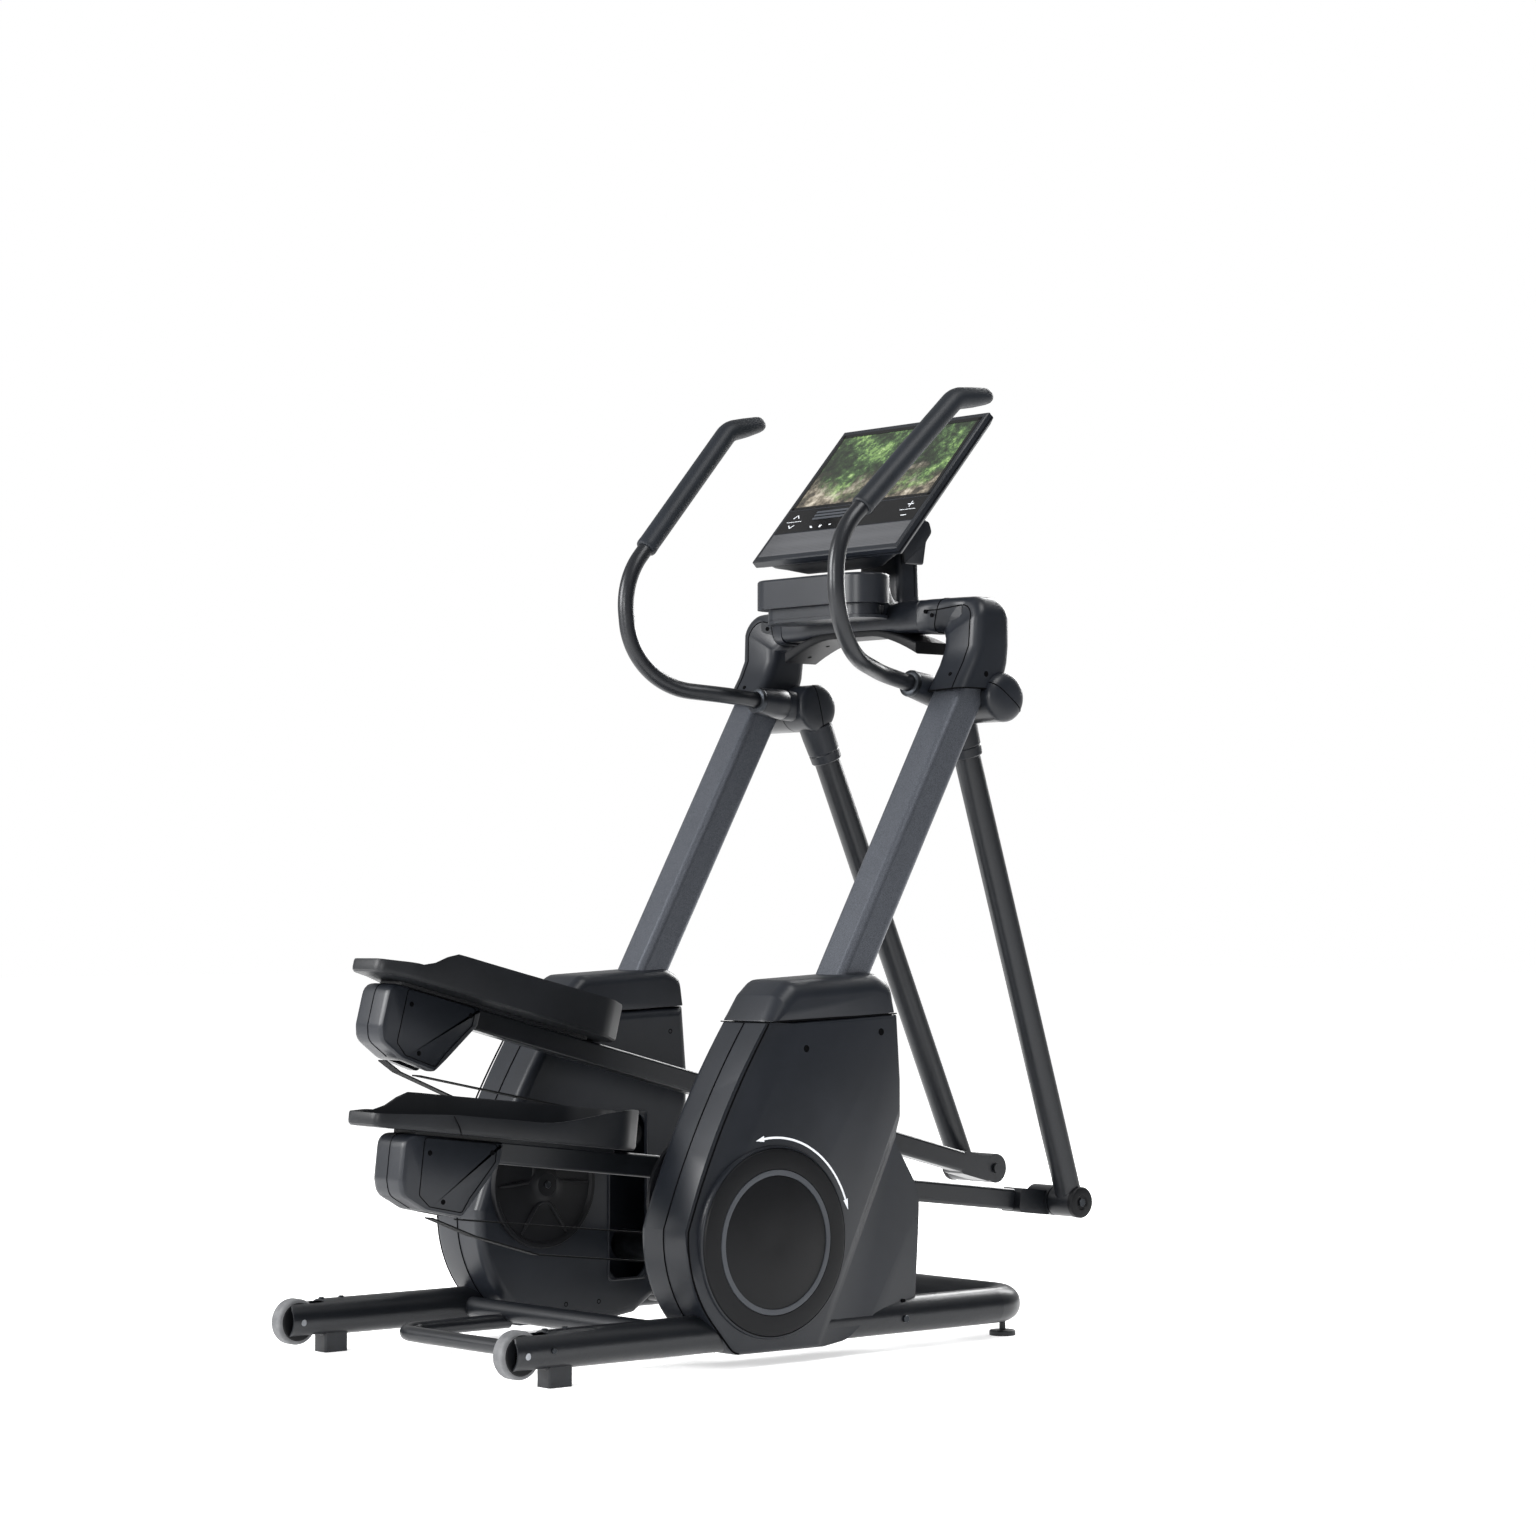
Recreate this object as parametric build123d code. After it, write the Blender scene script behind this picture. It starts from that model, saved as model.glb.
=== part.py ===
from build123d import *
import os
from math import atan2, cos, degrees, hypot, radians, sin

# Free-stride elliptical trainer, millimetres.
# +X is the user's right, +Y is forward (the console end), +Z is up, the floor is z = 0.
# Lengths along Y are written from the middle of the machine's own drive (SHIFT_Y moves
# everything so that the origin is under the middle of the whole machine).
SHIFT_Y = -151.6

# base frame
RAIL_X, RAIL_Z, RAIL_R = 336.0, 64.0, 34.0
RAIL_REAR_Y, FRONT_TUBE_Y, CORNER_R = -596.0, 627.0, 72.0
CROSS_TUBE_R, CROSS_TUBE_Z = 19.0, 62.0
CROSS_TUBE_YS = (-190.0, 250.0)
LIFT_R, LIFT_Z, LIFT_HALF_W, LIFT_REAR_Y = 14.0, 45.0, 195.0, -450.0
FOOT_BLOCK = (39.0, 50.0, 36.0)
FOOT_BLOCK_Y = -492.0
WHEEL_Y, WHEEL_Z, WHEEL_R, WHEEL_W = -574.0, 60.0, 42.0, 30.0
HUB_R, WHEEL_PIN_R = 25.0, 6.0
SCREW_FOOT_X, SCREW_FOOT_Y, SCREW_FOOT_R = 300.0, 620.0, 25.0

# towers
TOWER_IN, TOWER_SEAM, TOWER_OUT = 236.0, 306.0, 376.0
TOWER_WALL, TOWER_FACE = 12.0, 5.0
TOWER_EDGE_R = 18.0
CAP_TOP_Z = 697.0
DISC_Y, DISC_Z, DISC_R = -29.0, 221.0, 168.0
RING_OUT_R, RING_IN_R = 131.0, 118.0
CRANK_Y, CRANK_Z, CRANK_R = -79.0, 292.0, 122.0
CRANK_AXLE_R = 12.0
SLOT_Y, SLOT_W, SLOT_LOW_Z, SLOT_TOP_Z = 130.0, 92.0, 100.0, 420.0
SHAFT_Z, SHAFT_R = 166.0, 28.5
FLYWHEEL_R, FLYWHEEL_T, FLYWHEEL_PIN_R = 120.0, 26.0, 8.0

# uprights and top
UP_X, UP_W, UP_D, UP_LEAN = 292.0, 78.0, 70.0, 29.6
UP_BASE_Y, UP_BASE_Z, UP_LEN = 58.0, 420.0, 945.0
KNUCKLE_W, KNUCKLE_D = 100.0, 94.0
BEAM_TOP_Y, BEAM_TOP_Z = 545.0, 1383.0

# swing arms, shown with the right leg RIGHT_LEG degrees forward of straight down
HUB_Y, HUB_Z, HUB_SLEEVE_R = 581.0, 1219.0, 47.0
SLEEVE_IN, SLEEVE_OUT, HOUSING_OUT, CAP_OUT = 192.0, 244.0, 342.0, 354.0
ARM_SHAFT_R = 20.0
LEG_X, LEG_R, LEG_LEN = 210.0, 26.0, 1035.0
RIGHT_LEG, LEFT_LEG = 17.9, 24.5
HANDLE_R, GRIP_R = 16.0, 19.0
HANDLE_X, GRIP_X = 222.0, 295.0
PIVOT_R, PIVOT_IN, PIVOT_OUT, PIVOT_PIN_R = 30.0, 176.0, 240.0, 10.0

# pedal arms: rearward distance u and height w from the pivot, along the beam
RIGHT_SLOPE, LEFT_SLOPE = 6.7, 14.4
BEAM_X, BEAM_W, BEAM_H, BEAM_MID_W = 130.0, 40.0, 42.0, -6.0
BEAM_FRONT_U, HOUSING_FRONT_U, HOUSING_REAR_U = 96.0, 1388.0, 1600.0
HOUSING_X0, HOUSING_X1, HOUSING_WALL = 86.0, 174.0, 4.0
PULLEY_U, PULLEY_W, PULLEY_R, PULLEY_T = 1500.0, -60.0, 42.0, 30.0
PEDAL_X0, PEDAL_X1, PEDAL_FRONT_U, PEDAL_REAR_U = 32.0, 212.0, 1075.0, 1650.0
PEDAL_LOW, PEDAL_FLOOR, PEDAL_WALL = 17.5, 8.0, 7.0
STRAP_X, STRAP_W, STRAP_T, RING_R = 128.0, 26.0, 2.5, 27.0

# console
SCREEN_TILT, CONSOLE_W, CONSOLE_H, BEZEL_T = 48.4, 421.0, 377.0, 24.0
FACE_Y, FACE_Z = 552.5, 1647.5
GLASS_W, GLASS_H, GLASS_T = 402.0, 219.0, 3.0
TILT_DOWN, TILT_BACK = -40.0, -85.0
TILT_PIN_R = 8.0

STEEL_WALL = 3.0
RUNNING_GAP = 0.05
BODY_GAP = 0.4


def bar_x(radius, x0, x1, y, z):
    """Round bar along X."""
    return Pos((x0 + x1) / 2, y, z) * Rot(0, 90, 0) * Cylinder(radius, abs(x1 - x0))


def bar_y(radius, y0, y1, x, z):
    """Round bar along Y."""
    return Pos(x, (y0 + y1) / 2, z) * Rot(90, 0, 0) * Cylinder(radius, abs(y1 - y0))


def slab(face, x0, x1):
    """Extrude a side-view outline (drawn as y, z) from x0 to x1."""
    side_view = Plane(origin=(x0, 0, 0), x_dir=(0, 1, 0), z_dir=(1, 0, 0))
    return extrude(side_view * face, amount=x1 - x0)


def polygon(points):
    return make_face(Polyline(*points, close=True))


def left_of(shape):
    return mirror(shape, about=Plane.YZ)


def tube(path_points, radii, radius, wall=0.0):
    """Round bar or tube swept along straight runs joined by tangent arcs."""
    path = FilletPolyline(*path_points, radius=radii)
    start = Plane(origin=path @ 0, z_dir=path % 0)
    section = Circle(radius) - Circle(radius - wall) if wall else Circle(radius)
    return sweep(start * section, path=path)


def both(build):
    """A left and right pair kept in one node."""
    right = build()
    return Compound([right, left_of(right)])


# ---------------------------------------------------------------- base frame
def base_tube():
    corner_y = FRONT_TUBE_Y
    run = [(-RAIL_X, RAIL_REAR_Y, RAIL_Z), (-RAIL_X, corner_y, RAIL_Z),
           (RAIL_X, corner_y, RAIL_Z), (RAIL_X, RAIL_REAR_Y, RAIL_Z)]
    body = tube(run, CORNER_R, RAIL_R, STEEL_WALL)
    for s in (-1, 1):
        slot = Box(WHEEL_W + 6, 2 * (WHEEL_Y + WHEEL_R + 12 - RAIL_REAR_Y), 90)
        body -= Pos(s * RAIL_X, RAIL_REAR_Y, RAIL_Z) * slot
        body -= bar_x(WHEEL_PIN_R, s * RAIL_X - 40, s * RAIL_X + 40, WHEEL_Y, WHEEL_Z)
        trim = Rot(-28, 0, 0) * Box(90, 60, 160)
        body -= Pos(s * RAIL_X, RAIL_REAR_Y - 26, RAIL_Z + 34) * trim
        body -= Pos(s * SCREW_FOOT_X, SCREW_FOOT_Y, 30) * Cylinder(6 + RUNNING_GAP, 50)
        body -= Pos(s * RAIL_X, FOOT_BLOCK_Y, FOOT_BLOCK[2] / 2) * Box(*FOOT_BLOCK)
    return body


def cross_tubes():
    bars = []
    for y in CROSS_TUBE_YS:
        bar = bar_x(CROSS_TUBE_R, -RAIL_X, RAIL_X, y, CROSS_TUBE_Z)
        for s in (-1, 1):
            bar -= bar_y(RAIL_R, y - 60, y + 60, s * RAIL_X, RAIL_Z)
        bars.append(bar)
    return Compound(bars)


def lift_handle():
    joint_y = CROSS_TUBE_YS[0]
    run = [(-LIFT_HALF_W, joint_y, LIFT_Z), (-LIFT_HALF_W, LIFT_REAR_Y, LIFT_Z),
           (LIFT_HALF_W, LIFT_REAR_Y, LIFT_Z), (LIFT_HALF_W, joint_y, LIFT_Z)]
    bow = tube(run, 60, LIFT_R)
    return bow - bar_x(CROSS_TUBE_R, -RAIL_X, RAIL_X, joint_y, CROSS_TUBE_Z)


def rear_feet():
    block = fillet(Box(*FOOT_BLOCK).edges().filter_by(Axis.Z), 5)
    return both(lambda: Pos(RAIL_X, FOOT_BLOCK_Y, FOOT_BLOCK[2] / 2) * block)


def screw_foot():
    pad = Pos(SCREW_FOOT_X, SCREW_FOOT_Y, 5) * Cylinder(SCREW_FOOT_R, 10)
    pad = fillet(pad.edges().group_by(Axis.Z)[-1], 3)
    return pad + Pos(SCREW_FOOT_X, SCREW_FOOT_Y, 29) * Cylinder(6, 40)


def wheel():
    hub = bar_x(HUB_R, RAIL_X - WHEEL_W / 2, RAIL_X + WHEEL_W / 2, WHEEL_Y, WHEEL_Z)
    tread = bar_x(WHEEL_R, RAIL_X - WHEEL_W / 2, RAIL_X + WHEEL_W / 2, WHEEL_Y, WHEEL_Z)
    tread = fillet(tread.edges().filter_by(GeomType.CIRCLE), 6)
    return hub + tread - bar_x(WHEEL_PIN_R + RUNNING_GAP, 280, 400, WHEEL_Y, WHEEL_Z)


def axle_pins():
    wheel_pin = bar_x(WHEEL_PIN_R, RAIL_X - 33, RAIL_X + 33, WHEEL_Y, WHEEL_Z)
    flywheel_pin = bar_x(FLYWHEEL_PIN_R, 262, TOWER_OUT - TOWER_FACE, DISC_Y, DISC_Z)
    return Compound([wheel_pin, left_of(wheel_pin), flywheel_pin])


# ---------------------------------------------------------------- towers
def tower_outline():
    rear_top, rear_mid, rear_out = (-37, 612), (-156, 414), (-226, 250)
    rear_low, heel = (-210, 150), (-172, 86)
    front = [heel, (-119, 25), (98, 24), (155, 32), (198, 61), (327, 62), (345, 80),
             (338, 237), (335, 297), (274, 391), (287, 434), (287, 499), (276, 623)]
    upper_arc = ThreePointArc(rear_top, rear_mid, rear_out)
    lower_arc = ThreePointArc(rear_out, rear_low, heel)
    return make_face([upper_arc, lower_arc, Polyline(*front), Line(front[-1], rear_top)])


def upright_bar(length, grow=0.0, start=0.0):
    section = RectangleRounded(UP_W + 2 * grow, UP_D + 2 * grow, 14)
    base = Plane(origin=(UP_X, UP_BASE_Y, UP_BASE_Z), x_dir=(1, 0, 0),
                 z_dir=(0, sin(radians(UP_LEAN)), cos(radians(UP_LEAN))))
    return extrude(base.offset(start) * section, amount=length)


def tower_cutters():
    """Everything that passes through a tower: rail, cross tubes and upright."""
    cuts = bar_y(RAIL_R + BODY_GAP, -700, 600, RAIL_X, RAIL_Z)
    for y in CROSS_TUBE_YS:
        cuts += bar_x(CROSS_TUBE_R + BODY_GAP, 150, RAIL_X, y, CROSS_TUBE_Z)
    return cuts + upright_bar(UP_LEN, BODY_GAP)


def tower_shell(x_rim, x_face):
    """Half of a tower: hollow, closed by the flat wall at x_face, open at x_rim."""
    face = tower_outline()
    block = slab(face, min(x_rim, x_face), max(x_rim, x_face))
    side = block.edges().group_by(Axis.X)[-1 if x_face > x_rim else 0]
    block = fillet(side, TOWER_EDGE_R)
    floor_x = x_face - TOWER_FACE if x_face > x_rim else x_face + TOWER_FACE
    hollow = slab(offset(face, amount=-TOWER_WALL), min(x_rim, floor_x), max(x_rim, floor_x))
    return block - hollow - tower_cutters()


def tower_outer_shell():
    return tower_shell(TOWER_SEAM, TOWER_OUT)


def tower_inner_shell():
    shell = tower_shell(TOWER_SEAM, TOWER_IN)
    slot_h = SLOT_TOP_Z - SLOT_LOW_Z
    slot = slab(Pos(SLOT_Y, SLOT_LOW_Z + slot_h / 2) * RectangleRounded(SLOT_W, slot_h, 30),
                TOWER_IN - 5, TOWER_SEAM - 1)
    bore = bar_x(CRANK_AXLE_R + RUNNING_GAP, 220, 260, CRANK_Y, CRANK_Z)
    return shell - slot - bore


def tower_cap():
    low = [(-37, 612.4), (276, 623.4), (270, 684), (238, CAP_TOP_Z), (22, 686), (-8, 660)]
    block = slab(polygon(low), TOWER_IN + 2, TOWER_OUT - 6)
    block = fillet(block.edges().filter_by(Axis.X).group_by(Axis.Z)[-1], 12)
    block = chamfer(block.edges().group_by(Axis.X)[-1], 10)
    block = chamfer(block.edges().group_by(Axis.X)[0], 10)
    inside = slab(offset(polygon(low), amount=-TOWER_WALL), TOWER_IN + 14, TOWER_OUT - 18)
    return block - inside - upright_bar(UP_LEN, BODY_GAP)


def tower_caps():
    return both(tower_cap)


def side_disc():
    disc = bar_x(DISC_R, TOWER_OUT, TOWER_OUT + 8, DISC_Y, DISC_Z)
    disc = chamfer(disc.edges().group_by(Axis.X)[-1], 5)
    return disc - bar_x(RING_OUT_R, TOWER_OUT + 6, TOWER_OUT + 9, DISC_Y, DISC_Z)


def side_ring():
    band = bar_x(RING_OUT_R - 0.5, TOWER_OUT + 6, TOWER_OUT + 9, DISC_Y, DISC_Z)
    return band - bar_x(RING_IN_R, TOWER_OUT, TOWER_OUT + 10, DISC_Y, DISC_Z)


def crank():
    disc = bar_x(CRANK_R, TOWER_IN - 12, TOWER_IN - BODY_GAP, CRANK_Y, CRANK_Z)
    disc = chamfer(disc.edges().group_by(Axis.X)[0], 4)
    for k in range(3):
        rib = Pos(TOWER_IN - 13.5, 0, 66) * Box(5, 16, 72)
        disc += Pos(0, CRANK_Y, CRANK_Z) * Rot(90 + 120 * k, 0, 0) * rib
    disc += bar_x(20, TOWER_IN - 18, TOWER_IN - 12, CRANK_Y, CRANK_Z)
    return disc + bar_x(CRANK_AXLE_R, TOWER_IN - 2, TOWER_IN + 18, CRANK_Y, CRANK_Z)


def flywheel():
    rim = bar_x(FLYWHEEL_R, 266, 266 + FLYWHEEL_T, DISC_Y, DISC_Z)
    for x0, x1 in ((265, 274), (284, 293)):
        rim -= bar_x(FLYWHEEL_R - 22, x0, x1, DISC_Y, DISC_Z)
    rim += bar_x(20, 266, 266 + FLYWHEEL_T, DISC_Y, DISC_Z)
    return rim - bar_x(FLYWHEEL_PIN_R + RUNNING_GAP, 260, 300, DISC_Y, DISC_Z)


def cross_shaft():
    reach = TOWER_IN + 14
    bar = bar_x(SHAFT_R, -reach, reach, SLOT_Y, SHAFT_Z)
    return bar - bar_x(SHAFT_R - STEEL_WALL, -reach - 1, reach + 1, SLOT_Y, SHAFT_Z)


# ---------------------------------------------------------------- uprights and top
def hub_clearance():
    return bar_x(HUB_SLEEVE_R + BODY_GAP, 150, 380, HUB_Y, HUB_Z)


def upright():
    bar = upright_bar(UP_LEN)
    return bar - upright_bar(UP_LEN + 2, -STEEL_WALL, -1) - hub_clearance()


def crossbeam():
    bar = Pos(0, BEAM_TOP_Y, BEAM_TOP_Z) * Box(2 * UP_X, 44, 34)
    bar = fillet(bar.edges().filter_by(Axis.X), 8)
    return bar - upright_bar(UP_LEN + 60, 0.0) - left_of(upright_bar(UP_LEN + 60, 0.0))


def knuckle_cover():
    lean = radians(UP_LEAN)
    low = Plane(origin=(UP_X + 3, UP_BASE_Y + 945 * sin(lean) - 4, UP_BASE_Z + 945 * cos(lean)),
                x_dir=(1, 0, 0), z_dir=(0, sin(lean), cos(lean)))
    column = extrude(low * RectangleRounded(KNUCKLE_W, KNUCKLE_D, 20), amount=150)
    column &= Pos(UP_X, 560, 1300) * Box(200, 300, 228)
    turn = Pos(UP_X - 22, 540, BEAM_TOP_Z - 6) * Box(144, 96, 68)
    turn = fillet(turn.edges().filter_by(Axis.X), 22)
    cover = column + turn
    return cover


def knuckle_hollow():
    hollow = upright_bar(UP_LEN + 40, BODY_GAP) + crossbeam_clearance() + hub_clearance()
    return hollow


def crossbeam_clearance():
    return Pos(0, BEAM_TOP_Y, BEAM_TOP_Z) * Box(2 * UP_X + 2, 44 + 2 * BODY_GAP, 34 + 2 * BODY_GAP)


def finished_knuckle():
    return knuckle_cover() - knuckle_hollow()


def crossbeam_cover():
    half = UP_X - 22 - 72 - BODY_GAP
    cover = Pos(0, 540, BEAM_TOP_Z - 4) * Box(2 * half, 96, 60)
    cover = fillet(cover.edges().filter_by(Axis.X), 18)
    return cover - crossbeam_clearance()


def arch_plate():
    low_z = BEAM_TOP_Z - 4 - 30 - BODY_GAP
    end, mid, drop, thick = 190.0, 100.0, 40.0, 5.0
    top = [(-end, low_z - drop), (-mid, low_z), (mid, low_z), (end, low_z - drop)]
    low = [(x, z - thick) for x, z in reversed(top)]
    front = Plane(origin=(0, 590, 0), x_dir=(1, 0, 0), z_dir=(0, -1, 0))
    plate = extrude(front * polygon(top + low), amount=92)
    return plate


def mast():
    column = Pos(0, 606, 1467) * Box(120, 60, 106)
    column = fillet(column.edges().filter_by(Axis.Z), 18)
    return column


def console_bracket():
    y, z = tilt_axis()
    barrel = bar_x(22, -40, 40, y, z)
    neck = Pos(0, 606, 1535) * Box(60, 36, 30)
    barrel += neck
    return barrel + bar_x(TILT_PIN_R, -66, 66, y, z)


def oval(width, depth, height, y, z):
    return extrude(Pos(0, y, z) * SlotOverall(width, depth), amount=height)


def tray():
    body = oval(334, 104, 58, 428, 1404)
    body = fillet(body.edges().group_by(Axis.Z)[-1], 6)
    body -= oval(318, 88, 60, 428, 1412)
    return body - mast()


def cup_holder():
    drum = oval(290, 76, 21, 431, 1382.6) + oval(300, 100, 6, 440, 1376)
    link = Pos(0, 478, 1386) * Box(180, 26, 20)
    return drum + link - crossbeam_cover()


# ---------------------------------------------------------------- swing arms
def arm_axle():
    shaft = bar_x(ARM_SHAFT_R, 186, CAP_OUT - 6, HUB_Y, HUB_Z)
    collar = bar_x(HUB_SLEEVE_R, SLEEVE_OUT + 2, HOUSING_OUT, HUB_Y, HUB_Z)
    return shaft + collar


def hub_cap(x0, x1):
    dome = bar_x(HUB_SLEEVE_R, x0, x1, HUB_Y, HUB_Z)
    outside = 0 if x0 < 200 else -1
    return fillet(dome.edges().group_by(Axis.X)[outside], 9)


def hub_caps():
    outer = hub_cap(HOUSING_OUT, CAP_OUT) - bar_x(ARM_SHAFT_R, 100, CAP_OUT - 6, HUB_Y, HUB_Z)
    inner = hub_cap(180, SLEEVE_IN - 0.5) - bar_x(ARM_SHAFT_R, 186, 300, HUB_Y, HUB_Z)
    return Compound([outer, inner, left_of(outer), left_of(inner)])


def leg_frame(shape):
    """Hang a shape that points straight down at the right leg's angle."""
    return Rot(RIGHT_LEG, 0, 0) * shape


def hub_sleeve():
    body = bar_x(HUB_SLEEVE_R, SLEEVE_IN, SLEEVE_OUT, 0, 0)
    leg_socket = Pos(LEG_X, 0, -72) * Cone(34, 30, 78, rotation=(180, 0, 0))
    body += leg_frame(leg_socket)
    handle_socket = Pos(HANDLE_X, 0, 0) * Rot(90 - 12, 0, 0) * Pos(0, 0, 85) * Cone(29, 24, 90)
    body += handle_socket
    width = SLEEVE_OUT - SLEEVE_IN
    body &= Pos(SLEEVE_IN + width / 2, 0, 0) * Box(width, 400, 400)
    return body - bar_x(ARM_SHAFT_R + RUNNING_GAP, 150, 300, 0, 0)


def leg_tube():
    top, low = -111.0, -(LEG_LEN - PIVOT_R)
    bar = Pos(LEG_X, 0, (top + low - PIVOT_R) / 2) * Cylinder(LEG_R, top - low + PIVOT_R)
    bar -= Pos(LEG_X, 0, (top + low) / 2) * Cylinder(LEG_R - STEEL_WALL, top - low - 2 * STEEL_WALL)
    bar -= bar_x(PIVOT_R, 150, 300, 0, -LEG_LEN)
    return leg_frame(bar)


def lower_pivot():
    barrel = bar_x(PIVOT_R, PIVOT_IN, PIVOT_OUT, 0, -LEG_LEN)
    barrel = fillet(barrel.edges().group_by(Axis.X)[-1], 4)
    pin = bar_x(PIVOT_PIN_R, 106, PIVOT_IN, 0, -LEG_LEN)
    socket = bar_x(5, PIVOT_OUT - 5, PIVOT_OUT + 1, 0, -LEG_LEN)
    return leg_frame(barrel + pin - socket)


HANDLE_POINTS = [(HANDLE_X, -128.2, 27.2), (HANDLE_X, -200, 42.5), (GRIP_X, -385, 82),
                 (GRIP_X, -385, 288), (GRIP_X, -95, 557)]
GRIP_POINTS = [(GRIP_X, -322, 346.5), (GRIP_X, -76, 574.5), (GRIP_X, 10, 582)]


def grip():
    return tube(GRIP_POINTS, 40, GRIP_R)


def handle_tube():
    bar = tube(HANDLE_POINTS, [140, 150, 150], HANDLE_R, STEEL_WALL)
    return bar - grip()


def right_arm_pose(shape):
    return Pos(0, HUB_Y, HUB_Z) * shape


def left_arm_pose(shape):
    return left_of(Pos(0, HUB_Y, HUB_Z) * Rot(LEFT_LEG - RIGHT_LEG, 0, 0) * shape)


# ---------------------------------------------------------------- pedal arms
def uw(u, w):
    """A point on the pedal arm as (y, z) from the pivot, beam level."""
    return (-u, w)


def beam():
    length = HOUSING_FRONT_U - BODY_GAP - BEAM_FRONT_U
    bar = Box(BEAM_W, length, BEAM_H)
    bar = fillet(bar.edges().filter_by(Axis.Y), 6)
    bar -= Box(BEAM_W - 2 * STEEL_WALL, length + 2, BEAM_H - 2 * STEEL_WALL)
    return Pos(BEAM_X, -(BEAM_FRONT_U + length / 2), BEAM_MID_W) * bar


def fork():
    lug = bar_x(PIVOT_R, 112, 173, 0, 0)
    web = Pos(BEAM_X + 9, -52, BEAM_MID_W) * Box(54, 88, 48)
    web = fillet(web.edges().filter_by(Axis.X), 10)
    body = lug + web
    return body - bar_x(PIVOT_PIN_R + RUNNING_GAP, 100, 200, 0, 0)


def rear_housing():
    outline = [uw(1388, 12), uw(1388, -22), uw(1440, -96), uw(1462, -125), uw(1540, -118),
               uw(1592, -96), uw(HOUSING_REAR_U, -70), uw(HOUSING_REAR_U, 12)]
    face = fillet(polygon(outline).vertices(), 8)
    block = slab(face, HOUSING_X0, HOUSING_X1)
    block = fillet(block.edges().group_by(Axis.X)[-1], 6)
    block = fillet(block.edges().group_by(Axis.X)[0], 6)
    inside = slab(offset(face, amount=-HOUSING_WALL - 3), HOUSING_X0 + 5, HOUSING_X1 - 5)
    mouth = Pos(STRAP_X, -1492, -112) * Box(STRAP_W + 8, 74, 34)
    pin = bar_x(6, HOUSING_X0 + 4, HOUSING_X1 - 4, *uw(PULLEY_U, PULLEY_W))
    return block - inside - mouth + pin


def strap_pulley():
    body = bar_x(PULLEY_R, STRAP_X - PULLEY_T / 2, STRAP_X + PULLEY_T / 2, *uw(PULLEY_U, PULLEY_W))
    return body - bar_x(6 + RUNNING_GAP, 80, 180, *uw(PULLEY_U, PULLEY_W))


def pedal_plan(grow):
    """Foot-shaped outline seen from above, drawn as (x, y)."""
    x0, x1 = PEDAL_X0 - grow, PEDAL_X1 + grow
    front, rear = -PEDAL_FRONT_U + grow, -PEDAL_REAR_U - grow
    points = [(x0, front - 60), (x0 + 40, front), (x1 - 52, front), (x1, front - 70),
              (x1, rear + 130), (x1 - 50, rear + 40), (x1 - 60, rear), (x0 + 30, rear),
              (x0, rear + 60)]
    return fillet(polygon(points).vertices(), 18)


def pedal_side():
    """Side outline of the tray: low tail, walls that dip in the middle and rise forward."""
    return polygon([uw(PEDAL_REAR_U + 5, PEDAL_LOW + 6), uw(1600, PEDAL_LOW),
                    uw(1060, PEDAL_LOW), uw(1060, 84), uw(1110, 90), uw(1230, 80),
                    uw(1400, 62), uw(1510, 72), uw(1570, 62), uw(PEDAL_REAR_U + 5, 30)])


def pedal():
    block = extrude(pedal_plan(0), amount=120) & slab(pedal_side(), 0, 260)
    hollow = Pos(0, 0, PEDAL_LOW + PEDAL_FLOOR) * extrude(pedal_plan(-PEDAL_WALL), amount=120)
    keep = Pos(120, -1320, 60) * Box(300, 430, 200)
    body = block - (hollow & keep)
    beam_top = BEAM_MID_W + BEAM_H / 2
    for u in (1180, 1330):
        body += Pos(BEAM_X, -u, (beam_top + PEDAL_LOW + 1) / 2) * Box(60, 40, PEDAL_LOW + 1 - beam_top)
    return body


def right_pedal_pose(shape):
    y = HUB_Y + LEG_LEN * sin(radians(RIGHT_LEG))
    z = HUB_Z - LEG_LEN * cos(radians(RIGHT_LEG))
    return Pos(0, y, z) * Rot(-RIGHT_SLOPE, 0, 0) * shape


def left_pedal_pose(shape):
    y = HUB_Y + LEG_LEN * sin(radians(LEFT_LEG))
    z = HUB_Z - LEG_LEN * cos(radians(LEFT_LEG))
    return left_of(Pos(0, y, z) * Rot(-LEFT_SLOPE, 0, 0) * shape)


def strip(points):
    """Flat strap through points given as (y, z)."""
    pieces = []
    for (y0, z0), (y1, z1) in zip(points, points[1:]):
        length = hypot(y1 - y0, z1 - z0)
        run = Rot(degrees(atan2(z1 - z0, y1 - y0)), 0, 0) * Box(STRAP_W, length + 2, STRAP_T)
        pieces.append(Pos(STRAP_X, (y0 + y1) / 2, (z0 + z1) / 2) * run)
    strap = pieces[0]
    for piece in pieces[1:]:
        strap += piece
    return strap


def strap(exit_front, exit_rear, sag, ring):
    """Both strands from the housing's mouth to the ring that the crank would pull."""
    y, z = ring
    loop = bar_x(RING_R, STRAP_X - STRAP_W / 2, STRAP_X + STRAP_W / 2, y, z)
    loop -= bar_x(RING_R - STRAP_T, STRAP_X - 30, STRAP_X + 30, y, z)
    upper = strip([exit_front, (y, z + RING_R - STRAP_T / 2)])
    lower = strip([exit_rear] + sag + [(y, z - RING_R + STRAP_T / 2)])
    return upper + lower + loop


def right_strap():
    return strap((-543, 274), (-606, 280), [(-515, 244), (-375, 203)], (40, 182))


def left_strap():
    return left_of(strap((-450, 513), (-525, 542), [(-494, 521), (-372, 471)], (40, 388)))


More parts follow.
